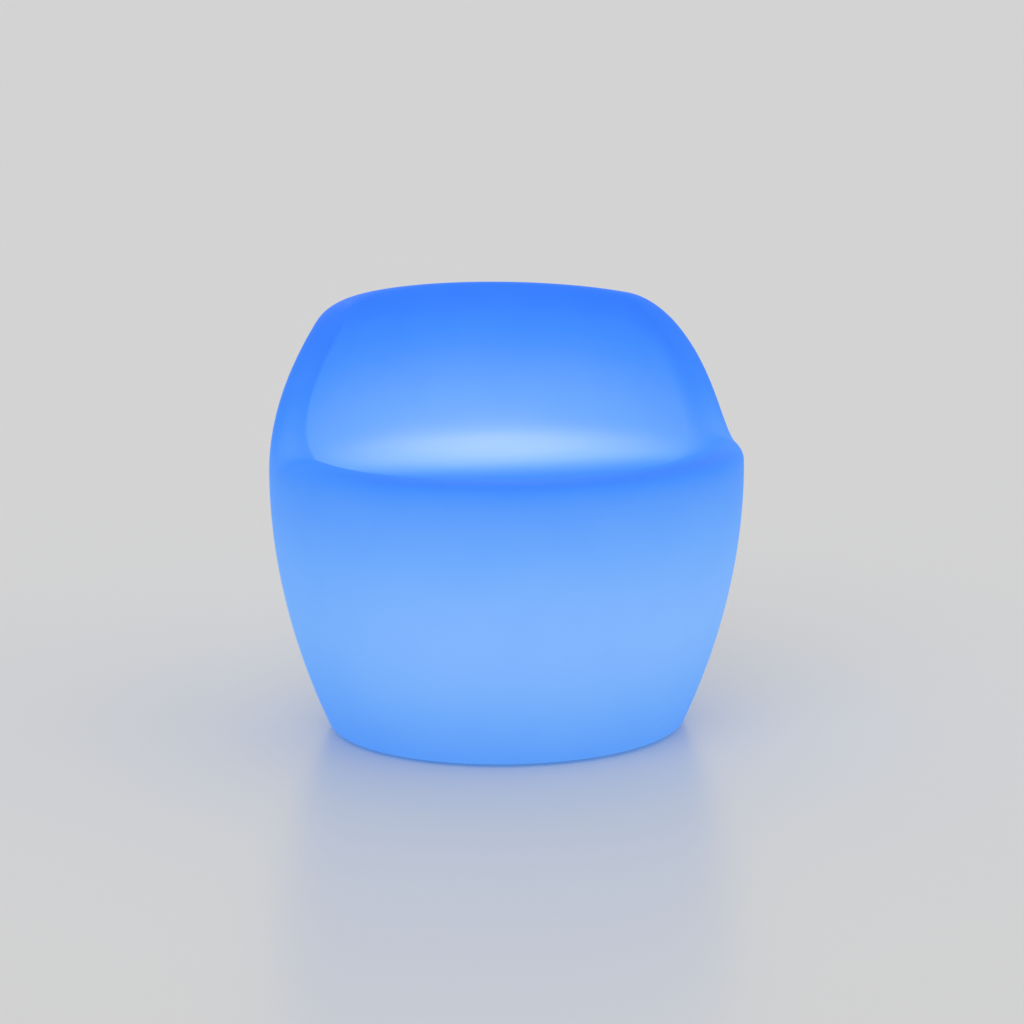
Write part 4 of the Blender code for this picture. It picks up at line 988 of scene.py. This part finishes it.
def circuit_laminate():
    """Glass and epoxy laminate under green varnish: paler where copper tracks run below it."""
    material, tree, shader = new_material("varnished_laminate", "#0E4A2C", 0.30)
    here = add_node(tree, "ShaderNodeTexCoord").outputs["Object"]
    tracks = add_node(tree, "ShaderNodeTexBrick", {
        "Vector": here, "Color1": linear("#0E4A2C"), "Color2": linear("#125534"),
        "Mortar": linear("#2C8458"), "Scale": 1.0, "Mortar Size": 0.00025, "Mortar Smooth": 0.2,
        "Brick Width": 0.0071, "Row Height": 0.0019})
    tree.links.new(tracks.outputs["Color"], shader.inputs["Base Color"])
    vary(tree, shader, "Roughness", add_noise(tree, 0.0008), 0.24, 0.38)
    roughen(tree, shader, tracks.outputs["Fac"], 0.00003)
    return material


def rolled_aluminium():
    """Rolled aluminium sheet: long fine lines along the rolling direction."""
    return grained("rolled_aluminium", "#D2D4D6", ["#C8CBCE", "#DCDEDF"], drift=(0.0004, 3, (60, 1, 1)),
                   grain=None, roughness=(0.26, 0.44), relief=0.000012, Metallic=1.0)


def diode_resin():
    """Clear resin over a lit diode: a smooth lens that glows pale blue from within."""
    material, tree, shader = new_material("lit_diode_resin", "#C8D8F0", 0.12, Emission_Color="#9CC4FF",
                                          Emission_Strength=0.6)
    swirl = add_noise(tree, 0.0012)
    tint(tree, shader, swirl, ["#BCD0EC", "#D6E4F6"])
    roughen(tree, shader, swirl, 0.00001)
    return material


def frosted_polycarbonate():
    """Frosted polycarbonate over the lit diodes: a matt bluish white that glows faintly."""
    return grained("frosted_polycarbonate", "#D4DFF2", ["#CCD9F0", "#DCE6F6"], drift=(0.03, 2),
                   grain=(0.0007, 3), roughness=(0.40, 0.56), relief=0.00003,
                   Emission_Color="#5C9CFF", Emission_Strength=0.25)


def clear_acrylic():
    """Polished acrylic: clear as glass, with faint flow lines from moulding."""
    material, tree, shader = new_material("polished_acrylic", "#E4ECEC", 0.06, IOR=1.49,
                                          Transmission_Weight=0.9)
    flow = add_noise(tree, 0.003)
    vary(tree, shader, "Roughness", flow, 0.03, 0.10)
    roughen(tree, shader, flow, 0.00001)
    return material


# The feet, the screws and the inserts

def build_foot(node, x, y, material):
    """A rubber foot: a counterbored ring whose sole has three fine grooves."""
    sole = []
    for radius in np.linspace(FOOT_BORE_RADIUS, FOOT_RADIUS - FOOT_EDGE, FOOT_GROOVES + 2)[1:-1]:
        sole += [(radius - FOOT_GROOVE, 0), (radius, FOOT_GROOVE), (radius + FOOT_GROOVE, 0)]
    corners = [(FOOT_BORE_RADIUS, 0, FINE_EDGE), *sole, (FOOT_RADIUS - FOOT_EDGE, 0, SOFT_EDGE),
               (FOOT_RADIUS, FOOT_EDGE, SOFT_EDGE), (FOOT_RADIUS, FOOT_TOP, SOFT_EDGE),
               (SCREW_BORE, FOOT_TOP), (SCREW_BORE, FOOT_BORE_TOP), (FOOT_BORE_RADIUS, FOOT_BORE_TOP)]
    place(node, turned(corners, x, y, closed=True), material)


def build_screw(node, material, up, small=False):
    """A domed screw with a rolled thread, set by its node's box. Its shank points up or down.
    The large ones have a hexagon socket in the head, and the small ones a cross."""
    x, y, low, high = extent(node)[:4]
    shank, head, tall, pitch = SMALL_SCREW if small else LARGE_SCREW
    length = high - low - tall
    sides = SMALL_SIDES if small else SCREW_SIDES
    top = turned_rows(rounded([(0, -tall), (head * SCREW_FACE_SHARE, -tall, FINE_EDGE),
                               (head, -tall / 2, FINE_EDGE), (head, 0, FINE_EDGE), (shank, 0)]), sides)
    thread = thread_rows(shank, pitch, length - pitch, pitch, pitch * THREAD_DEPTH_SHARE, sides)
    rows = np.concatenate([top, thread, turned_rows([(shank / 2, length), (0, length)], sides)])
    seat = low + tall
    if not up:
        rows, seat = rows * (1, -1, -1), high - tall
    mesh = grid_mesh(rows + (x, y, seat))
    if small:
        for size in ((CROSS_LENGTH, CROSS_WIDTH), (CROSS_WIDTH, CROSS_LENGTH)):
            mesh = cut(mesh, slab_rows(*size, high - CROSS_DEPTH, high + CROSS_DEPTH, CROSS_ROUND,
                                       CROSS_ROUND, x, y))
    else:
        mesh = cut(mesh, plug(x, y, SOCKET_RADIUS, low - SOCKET_DEPTH, low + SOCKET_DEPTH, 6))
    place(node, mesh, material)


def build_insert(node, x, y, material):
    """A brass insert: two knurled bands with a groove between them, round a plain bore."""
    groove_low, groove_high = (blend(RECESS_Z, INSERT_TOP, share) for share in INSERT_GROOVE_SHARES)
    depth = 2 * KNURL_DEPTH
    neck = INSERT_RADIUS - depth
    corners = [(SCREW_BORE, RECESS_Z), (neck, RECESS_Z), (INSERT_RADIUS, RECESS_Z + depth),
               (INSERT_RADIUS, groove_low), (neck, groove_low + depth), (neck, groove_high - depth),
               (INSERT_RADIUS, groove_high), (INSERT_RADIUS, INSERT_TOP - depth), (neck, INSERT_TOP),
               (SCREW_BORE, INSERT_TOP)]
    rows = turned_rows(corners, KNURL_SIDES)
    teeth = 1 - KNURL_DEPTH / INSERT_RADIUS * (np.arange(KNURL_SIDES) % 2)
    rows[[radius == INSERT_RADIUS for radius, height in corners], :, :2] *= teeth[:, None]
    place(node, grid_mesh(rows + (x, y, 0), close_rows=True), material)


def build_fastenings(steel):
    """The feet with their screws, the inserts with theirs, and the small screws inside."""
    brass, rubber = turned_brass(), moulded_rubber("moulded_foot_rubber", "#242426")
    for number, (x, y) in enumerate(FOOT_PLACES, 1):
        build_foot(f"foot_{number}", x, y, rubber)
        build_screw(f"foot_screw_{number}", steel, up=True)
    for number, (x, y) in enumerate(INSERT_PLACES, 1):
        build_insert(f"threaded_insert_{number}", x, y, brass)
        build_screw(f"tray_screw_{number}", steel, up=True)
    for node in SPREADER_SCREWS + BOARD_SCREWS:
        build_screw(node, steel, up=False, small=True)


# The lamp unit's tray, its seals and its light

def build_tray():
    """The tray: a flange with two shallow moulded rings below, a cup with a stepped neck for the
    dome, the posts for board and spreader, and the two stop pegs of the socket's cover."""
    rings = []
    for radius in TRAY_RINGS:
        rings += [(radius + step * TRAY_RING_DEPTH, TRAY_Z + rise * TRAY_RING_DEPTH)
                  for step, rise in enumerate((0, 1, 1, 0))]
    corners = [(0, TRAY_Z), *rings, (FLANGE_RADIUS, TRAY_Z, WIDE_EDGE),
               (FLANGE_RADIUS, TRAY_TOP_Z, WIDE_EDGE), (CUP_RADIUS, TRAY_TOP_Z, WIDE_EDGE),
               (CUP_RADIUS, SHOULDER_Z, SOFT_EDGE), (NECK_RADIUS, SHOULDER_Z),
               (NECK_RADIUS, NECK_Z, SOFT_EDGE), (CUP_INSIDE, NECK_Z, SOFT_EDGE),
               (CUP_INSIDE, TRAY_TOP_Z, WIDE_EDGE), (0, TRAY_TOP_Z)]
    middle = (TRAY_Z + TRAY_TOP_Z) / 2
    posts = [plug(*spot(node), SPREADER_POST_RADIUS, middle, NECK_Z) for node in SPREADER_SCREWS]
    posts += [plug(*spot(node), BOARD_POST_RADIUS, middle, BOARD_Z - FIT_GAP) for node in BOARD_SCREWS]
    x, y = spot("cover_pivot")
    for turn in STOP_ANGLES:
        posts.append(stepped(x + STOP_REACH * math.cos(turn), y + STOP_REACH * math.sin(turn),
                             [(STOP_RADIUS - FINE_EDGE, STOP_Z), (STOP_RADIUS, STOP_Z + FINE_EDGE),
                              (STOP_RADIUS, middle)]))
    mesh = combine(turned(corners, sides=WIDE_SIDES), posts, "UNION")
    through = [(SCREW_RADIUS, INSERT_PLACES), (COLLAR_RADIUS, [spot("power_button")]),
               (JACK_THREAD_RADIUS, [spot("charge_jack")]), (LENS_RADIUS, [spot("status_lens")])]
    holes = [bore(x, y, radius, TRAY_Z, TRAY_TOP_Z) for radius, places in through for x, y in places]
    pilots = [("cover_pivot", PIVOT_RADIUS, TRAY_Z - FIT_GAP, PIVOT_HOLE_TOP)]
    pilots += [(node, SMALL_SCREW[0], NECK_Z - SMALL_PILOT, NECK_Z + FIT_GAP) for node in SPREADER_SCREWS]
    pilots += [(node, SMALL_SCREW[0], BOARD_Z - SMALL_PILOT, BOARD_Z) for node in BOARD_SCREWS]
    holes += [plug(*spot(node), radius + FIT_GAP, low, high) for node, radius, low, high in pilots]
    plastic = moulded_plastic("moulded_tray_plastic", "#CACAC6", "#CDCDC9", 0.46, 0.0006)
    place("lamp_tray", cut(mesh, *holes), plastic)


def build_seals():
    """The two flat seals, each a ring with two shallow grooves above."""
    material = silicone()
    for node, width in SEAL_WIDTHS.items():
        low, high, outer = extent(node)[2:]
        inner = outer - width
        beads = [(outer - width * share, high - BEAD_DEPTH * (number % 2))
                 for number, share in enumerate(BEAD_SHARES)]
        corners = [(inner, low, FINE_EDGE), (outer, low, FINE_EDGE), (outer, high, FINE_EDGE), *beads,
                   (inner, high, FINE_EDGE)]
        place(node, turned(corners, sides=WIDE_SIDES, closed=True), material)


def build_light():
    """The aluminium spreader, the diode board, the diodes with their lenses, and the dome."""
    holes = (holes_in("heat_spreader", SMALL_SCREW[0], *SPREADER_SCREWS)
             + holes_in("heat_spreader", LEAD_RADIUS + FIT_GAP, "led_lead"))
    place("heat_spreader", cut(disc("heat_spreader", SOFT_EDGE), *holes), rolled_aluminium())
    white = moulded_plastic("white_solder_varnish", "#D8D8D2", "#DEDED9", 0.34, 0.0008)
    place("led_board", disc("led_board", FINE_EDGE), white)

    resin = diode_resin()
    rim = outline(1, 1, 1 / 2)
    for number in range(1, LED_COUNT + 1):
        node = f"led_{number}"
        x, y, low, high, half = extent(node)
        middle = blend(low, high, LED_BODY_SHARE)
        body = slab_rows(2 * half, 2 * half, low, middle, SOFT_EDGE, FINE_EDGE, x, y)[:-1]
        lens = [lifted(reach * rim + (x, y), level)
                for reach, level in arc(2 * half * LED_LENS_SHARE, middle, high, LENS_STEPS + 1)]
        place(node, grid_mesh(np.concatenate([body, lens])), resin)

    low, high, radius = extent("dome")[2:]
    spring, inner = low + DOME_SKIRT, radius - DOME_WALL
    corners = [*arc(inner, spring, high - DOME_WALL, DOME_ROWS)[::-1], (inner, low, FINE_EDGE),
               (radius, low, FINE_EDGE), *arc(radius, spring, high, DOME_ROWS)]
    place("dome", turned(corners, sides=WIDE_SIDES), frosted_polycarbonate())


# The battery and the control board

def build_battery(steel, nylon):
    """Three cells in a cradle with a trough for each, under a bent steel strap."""
    cradle = block("battery_cradle", WIDE_EDGE, SOFT_EDGE)
    cells = {}
    for number in range(1, CELL_COUNT + 1):
        low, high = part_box(f"battery_cell_{number}")
        y, z, radius, end = (low.y + high.y) / 2, (low.z + high.z) / 2, (high.y - low.y) / 2, high.x
        cells[f"battery_cell_{number}"] = y, z, radius, end
        cradle = cut(cradle, laid_down(bore(0, 0, radius, -end, end), y, z))
    place("battery_cradle", cradle, nylon)

    film = marked_metal("shrunk_battery_film", "#1E8A5C", "#259566", 0.32, "#C6C8C8")
    for node, (y, z, radius, end) in cells.items():
        face = end - CELL_TIP_HEIGHT
        corners = [(0, -end), (radius - CELL_LIP, -end, SOFT_EDGE), (radius, CELL_LIP - end, SOFT_EDGE),
                   (radius, face - CELL_LIP, SOFT_EDGE), (radius - CELL_LIP, face, SOFT_EDGE),
                   (radius - 2 * CELL_LIP, face - CELL_LIP / 2), (CELL_VENT_RADIUS, face - CELL_LIP / 2),
                   (CELL_TIP_RADIUS, face), (CELL_TIP_RADIUS, end, SOFT_EDGE), (0, end)]
        mesh = grid_mesh(laid_down(turned_rows(rounded(corners), WIDE_SIDES // 2), y, z))
        points = places_of(mesh)
        mark(mesh, "metal", np.hypot(points[:, 1] - y, points[:, 2] - z) < radius - CELL_LIP * 3 / 2)
        place(node, mesh, film)

    low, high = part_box("battery_strap")
    half = STRAP_THICKNESS / 2
    near, far, top = low.y + half, high.y - half, high.z - half
    corners = rounded([(near, low.z), (near, top, STRAP_BEND), (far, top, STRAP_BEND), (far, low.z)])
    mesh = swept([(0, y, z) for y, z in corners], outline(high.x - low.x, STRAP_THICKNESS, FINE_EDGE),
                 side=(1, 0, 0))
    place("battery_strap", mesh, steel)


def build_board(nylon):
    """The control board with its chip, choke, receiver and switch."""
    board = cut(block("control_board", WIDE_EDGE, FINE_EDGE),
                *holes_in("control_board", SMALL_SCREW[0], *BOARD_SCREWS))
    place("control_board", board, circuit_laminate())

    low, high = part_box("controller_chip")
    dot = plug(low.x + CHIP_DOT_INSET, high.y - CHIP_DOT_INSET, CHIP_DOT_RADIUS,
               high.z - CHIP_DOT_DEPTH, high.z + CHIP_DOT_DEPTH)
    place("controller_chip", cut(block("controller_chip", SOFT_EDGE, FINE_EDGE), dot), nylon)

    x, y, low, high, radius = extent("choke")
    sides = 2 * SMALL_SIDES
    groove_low, groove_high = low + CHOKE_FLANGE, high - CHOKE_FLANGE
    base = rounded([(0, low), (radius, low, SOFT_EDGE), (radius, groove_low, SOFT_EDGE)])
    cap = rounded([(radius, groove_high, SOFT_EDGE), (radius, high, SOFT_EDGE), (CHOKE_DIP_RADIUS, high),
                   (CHOKE_DIP_RADIUS, high - SOFT_EDGE), (0, high - SOFT_EDGE)])
    winding = thread_rows(radius - CHOKE_GROOVE, groove_low, groove_high, CHOKE_WIRE, CHOKE_WIRE / 3,
                          sides)
    rows = np.concatenate([turned_rows(base, sides), winding, turned_rows(cap, sides)])
    place("choke", grid_mesh(rows + (x, y, 0)), nylon)

    x, y, low, high = extent("remote_receiver")[:4]
    shoulder = high - RECEIVER_LENS_HEIGHT
    root = shoulder - RECEIVER_LENS_HEIGHT
    lens = [(0, root), (RECEIVER_LENS_RADIUS, root),
            *arc(RECEIVER_LENS_RADIUS, shoulder, high, LENS_STEPS)]
    mesh = combine(block("remote_receiver", SOFT_EDGE, FINE_EDGE, shoulder),
                   [turned_rows(lens, TOOL_SIDES, x, y)], "UNION")
    white = moulded_plastic("white_receiver_case", "#D2D2CC", "#D9D9D4", 0.30, 0.0005)
    place("remote_receiver", mesh, white)

    x, y, low, high = extent("power_switch")[:4]
    hole = plug(x, y, PLUNGER_RADIUS + FIT_GAP, low - FIT_GAP, low + PLUNGER_HOLE)
    place("power_switch", cut(block("power_switch", SOFT_EDGE, FINE_EDGE), hole), nylon)


def build_leads():
    """The two red leads, each a smooth curve through its route."""
    sheath = moulded_plastic("red_lead_sheath", "#8E1A1A", "#9C2020", 0.42, 0.0004)
    section = LEAD_RADIUS * 2 * outline(1, 1, 1 / 2)
    for node, route in LEAD_ROUTES.items():
        place(node, swept(curve_points(route, LEAD_STEPS), section), sheath)


# What shows below: the button, the socket with its cover, and the status light

def build_button(nylon, rubber, acrylic):
    """The button: a dished face in a raised ring, held by an inner flange. It presses the clear
    plunger of the switch, and a ribbed soft collar seals it in the tray."""
    x, y, low, high, flange = extent("power_button")
    dished, seat = low + BUTTON_DISH, high - BUTTON_FLANGE
    corners = [(0, dished), (BUTTON_RING_RADIUS, dished, FINE_EDGE),
               (BUTTON_RING_RADIUS + BUTTON_DISH, low, FINE_EDGE),
               (BUTTON_RADIUS - BUTTON_DISH, low, FINE_EDGE), (BUTTON_RADIUS, dished, FINE_EDGE),
               (BUTTON_RADIUS, seat), (flange, seat, FINE_EDGE), (flange, high, FINE_EDGE), (0, high)]
    place("power_button", turned(corners, x, y), nylon, "power_button")

    low, high = extent("switch_plunger")[2:4]
    corners = [(0, low), (PLUNGER_RADIUS, low, FINE_EDGE), (PLUNGER_RADIUS, high, SOFT_EDGE), (0, high)]
    place("switch_plunger", turned(corners, x, y, SCREW_SIDES), acrylic, "power_button")

    low, high = extent("button_collar")[2:4]
    inner = BUTTON_RADIUS + FIT_GAP
    rib = (COLLAR_RADIUS - inner) / 4
    corners = [(inner, low, FINE_EDGE), (inner + rib, low), (inner + 2 * rib, low + rib / 2),
               (inner + 3 * rib, low), (COLLAR_RADIUS, low, FINE_EDGE),
               (COLLAR_RADIUS, high, FINE_EDGE), (inner, high, FINE_EDGE)]
    place("button_collar", turned(corners, x, y, closed=True), rubber)


def build_socket(steel, rubber):
    """The charging socket with its threaded barrel and centre pin, the chamfered nut, the rubber
    cover with three finger ridges, and the slotted pivot that the cover swings on."""
    x, y, low, high, flange = extent("charge_jack")
    top, pin_end, bore_end = low + JACK_FLANGE, low + JACK_PIN_RECESS, low + JACK_BORE_DEPTH
    face = rounded([(0, pin_end), (JACK_PIN_RADIUS, pin_end, SOFT_EDGE), (JACK_PIN_RADIUS, bore_end),
                    (JACK_BORE_RADIUS, bore_end), (JACK_BORE_RADIUS, low, SOFT_EDGE),
                    (flange, low, SOFT_EDGE), (flange, top, FINE_EDGE), (JACK_THREAD_RADIUS, top)])
    half_pitch = JACK_THREAD_PITCH / 2
    barrel = thread_rows(JACK_THREAD_RADIUS, top, high - half_pitch, JACK_THREAD_PITCH,
                         JACK_THREAD_PITCH * THREAD_DEPTH_SHARE, ROUND_SIDES)
    end = turned_rows([(JACK_THREAD_RADIUS - half_pitch, high), (0, high)], ROUND_SIDES)
    mesh = grid_mesh(np.concatenate([turned_rows(face, ROUND_SIDES), barrel, end]) + (x, y, 0))
    points = places_of(mesh)
    mark(mesh, "metal", (np.hypot(points[:, 0] - x, points[:, 1] - y) < JACK_PIN_RADIUS + FIT_GAP)
         & (points[:, 2] < high - JACK_FLANGE))
    case = marked_metal("moulded_socket_nylon", "#36363A", "#3C3C40", 0.44, "#C9B27A")
    place("charge_jack", mesh, case)

    low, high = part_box("jack_nut")
    across = high.y - low.y
    hexagon = hexagon_reach(ROUND_SIDES, across)
    face = np.minimum(hexagon, across / 2 * NUT_FACE_SHARE)
    inner = np.full(ROUND_SIDES, JACK_THREAD_RADIUS + FIT_GAP)
    heights = np.array([low.z, low.z, low.z + NUT_CHAMFER, high.z - NUT_CHAMFER, high.z, high.z])
    rows = round_rows(np.array([inner, face, hexagon, hexagon, face, inner]), heights[:, None], x, y)
    place("jack_nut", grid_mesh(rows, close_rows=True), steel)

    low, high, half = extent("jack_cover")[2:]
    cuts = holes_in("jack_cover", PIVOT_RADIUS, "cover_pivot")
    cuts += [slab_rows(2 * half * GRIP_SHARE, GRIP_GROOVE, low - GRIP_GROOVE, low + GRIP_GROOVE,
                       GRIP_GROOVE / 3, GRIP_GROOVE / 3, x, y + (row - 1 / 2) * GRIP_PITCH)
             for row in range(-1, 3)]
    cover = cut(block("jack_cover", half - FINE_EDGE, SOFT_EDGE), *cuts)
    place("jack_cover", cover, rubber, "jack_cover")

    x, y, low, high, head = extent("cover_pivot")
    seat = low + PIVOT_HEAD_HEIGHT
    corners = [(0, low), (head / 2, low, SOFT_EDGE), (head, low + PIVOT_HEAD_HEIGHT / 2, SOFT_EDGE),
               (head, seat, FINE_EDGE), (PIVOT_RADIUS, seat), (PIVOT_RADIUS, high, SOFT_EDGE), (0, high)]
    slot = slab_rows(2 * head, SLOT_WIDTH, low - SLOT_DEPTH, low + SLOT_DEPTH, FINE_EDGE, FINE_EDGE,
                     x, y)
    place("cover_pivot", cut(turned(corners, x, y), slot), steel)


def build_status_lens(acrylic):
    """The light pipe of the charge indicator: a clear rod with rounded ends, held by a flange."""
    x, y, low, high, flange = extent("status_lens")
    seat = TRAY_TOP_Z + FIT_GAP
    corners = [(0, low), (LENS_RADIUS, low, SOFT_EDGE), (LENS_RADIUS, seat), (flange, seat, FINE_EDGE),
               (flange, seat + LENS_FLANGE, FINE_EDGE), (LENS_RADIUS, seat + LENS_FLANGE),
               (LENS_RADIUS, high, SOFT_EDGE), (0, high)]
    place("status_lens", turned(corners, x, y, SCREW_SIDES), acrylic)


# The studio

def greatest(tree, value, *others):
    """The greatest of several sockets' values."""
    for other in others:
        value = add_node(tree, "ShaderNodeMath", {0: value, 1: other}, operation="MAXIMUM").outputs[0]
    return value


def build_floor():
    """A wide round floor of rings that lie closer towards the middle. It shows only from above,
    and fades into the backdrop with distance. Light passes it, so that the pale surroundings
    light the stool's underside as well."""
    radii = [*np.geomspace(FLOOR_FIRST_RING, FLOOR_RADIUS, FLOOR_RINGS)[::-1], 0]
    mesh = grid_mesh(turned_rows([(radius, 0) for radius in radii], FLOOR_SIDES))
    material, tree, shader = new_material("matt_studio_floor", FLOOR_COLOUR, FLOOR_ROUGHNESS,
                                          Specular_IOR_Level=FLOOR_SPECULAR)
    here = add_node(tree, "ShaderNodeTexCoord").outputs["Object"]
    reach = add_node(tree, "ShaderNodeVectorMath", {0: here}, operation="LENGTH")
    fade = add_node(tree, "ShaderNodeMapRange", {
        "Value": reach.outputs["Value"], "From Min": FLOOR_FADE_NEAR, "From Max": FLOOR_FADE_FAR},
        interpolation_type="SMOOTHSTEP")
    facing = add_node(tree, "ShaderNodeNewGeometry")
    path = add_node(tree, "ShaderNodeLightPath").outputs
    share = greatest(tree, path["Is Diffuse Ray"], path["Is Shadow Ray"], facing.outputs["Backfacing"],
                     fade.outputs["Result"])
    clear = add_node(tree, "ShaderNodeBsdfTransparent")
    mix = add_node(tree, "ShaderNodeMixShader", {0: share, 1: shader.outputs["BSDF"],
                                                 2: clear.outputs["BSDF"]})
    tree.links.new(mix.outputs["Shader"], tree.nodes["Material Output"].inputs["Surface"])
    mesh.materials.append(material)
    new_object("floor", mesh)


def build_world():
    """An even pale surround: what the camera, mirrors and glass show of it is a little dimmer
    than the light that it gives."""
    world = bpy.data.worlds.new("studio")
    world.use_nodes = True
    bpy.context.scene.world = world
    tree = world.node_tree
    background = tree.nodes["Background"]
    path = add_node(tree, "ShaderNodeLightPath").outputs
    shown = greatest(tree, path["Is Camera Ray"], path["Is Glossy Ray"], path["Is Transmission Ray"])
    strength = add_node(tree, "ShaderNodeMapRange", {"Value": shown, "To Min": WORLD_STRENGTH,
                                                     "To Max": 1.0})
    background.inputs["Color"].default_value = linear(STUDIO_COLOUR)
    tree.links.new(strength.outputs["Result"], background.inputs["Strength"])


def stand_at(item, stand, aim=(0, 0, 0)):
    """Stands a light or the camera at a place, and turns it towards another."""
    item.location = stand
    item.rotation_euler = (Vector(aim) - Vector(stand)).to_track_quat("-Z", "Y").to_euler()


def build_lights():
    """Wide far lights that shine towards the stool, evenly over the whole floor."""
    for name, (power, spread, stand) in LIGHTS.items():
        light = bpy.data.lights.new(name, "SUN")
        light.energy, light.angle = power, spread
        stand_at(new_object(name, light), stand)


def build_camera():
    """The photograph's view."""
    level = math.cos(CAMERA_ELEVATION)
    aim = Vector(CAMERA_LOOKS_AT)
    stand = aim + CAMERA_DISTANCE * Vector((math.sin(CAMERA_AZIMUTH) * level,
                                            -math.cos(CAMERA_AZIMUTH) * level,
                                            math.sin(CAMERA_ELEVATION)))
    lens = bpy.data.cameras.new("photograph_view")
    lens.lens, lens.sensor_width = CAMERA_LENS_MM, CAMERA_SENSOR_MM
    lens.clip_start, lens.clip_end = CAMERA_CLIPS
    camera = new_object("photograph_view", lens)
    stand_at(camera, stand, aim)
    bpy.context.scene.camera = camera


steel = plated_steel()
nylon = moulded_plastic("moulded_black_nylon", "#36363A", "#3C3C40", 0.44, 0.0005)
rubber = moulded_rubber("moulded_seal_rubber", "#2C2C2E")
acrylic = clear_acrylic()
build_shell()
build_fastenings(steel)
build_tray()
build_seals()
build_light()
build_battery(steel, nylon)
build_board(nylon)
build_leads()
build_button(nylon, rubber, acrylic)
build_socket(steel, rubber)
build_status_lens(acrylic)
build_floor()
build_world()
build_lights()
build_camera()
bpy.context.scene.view_settings.view_transform = "Standard"
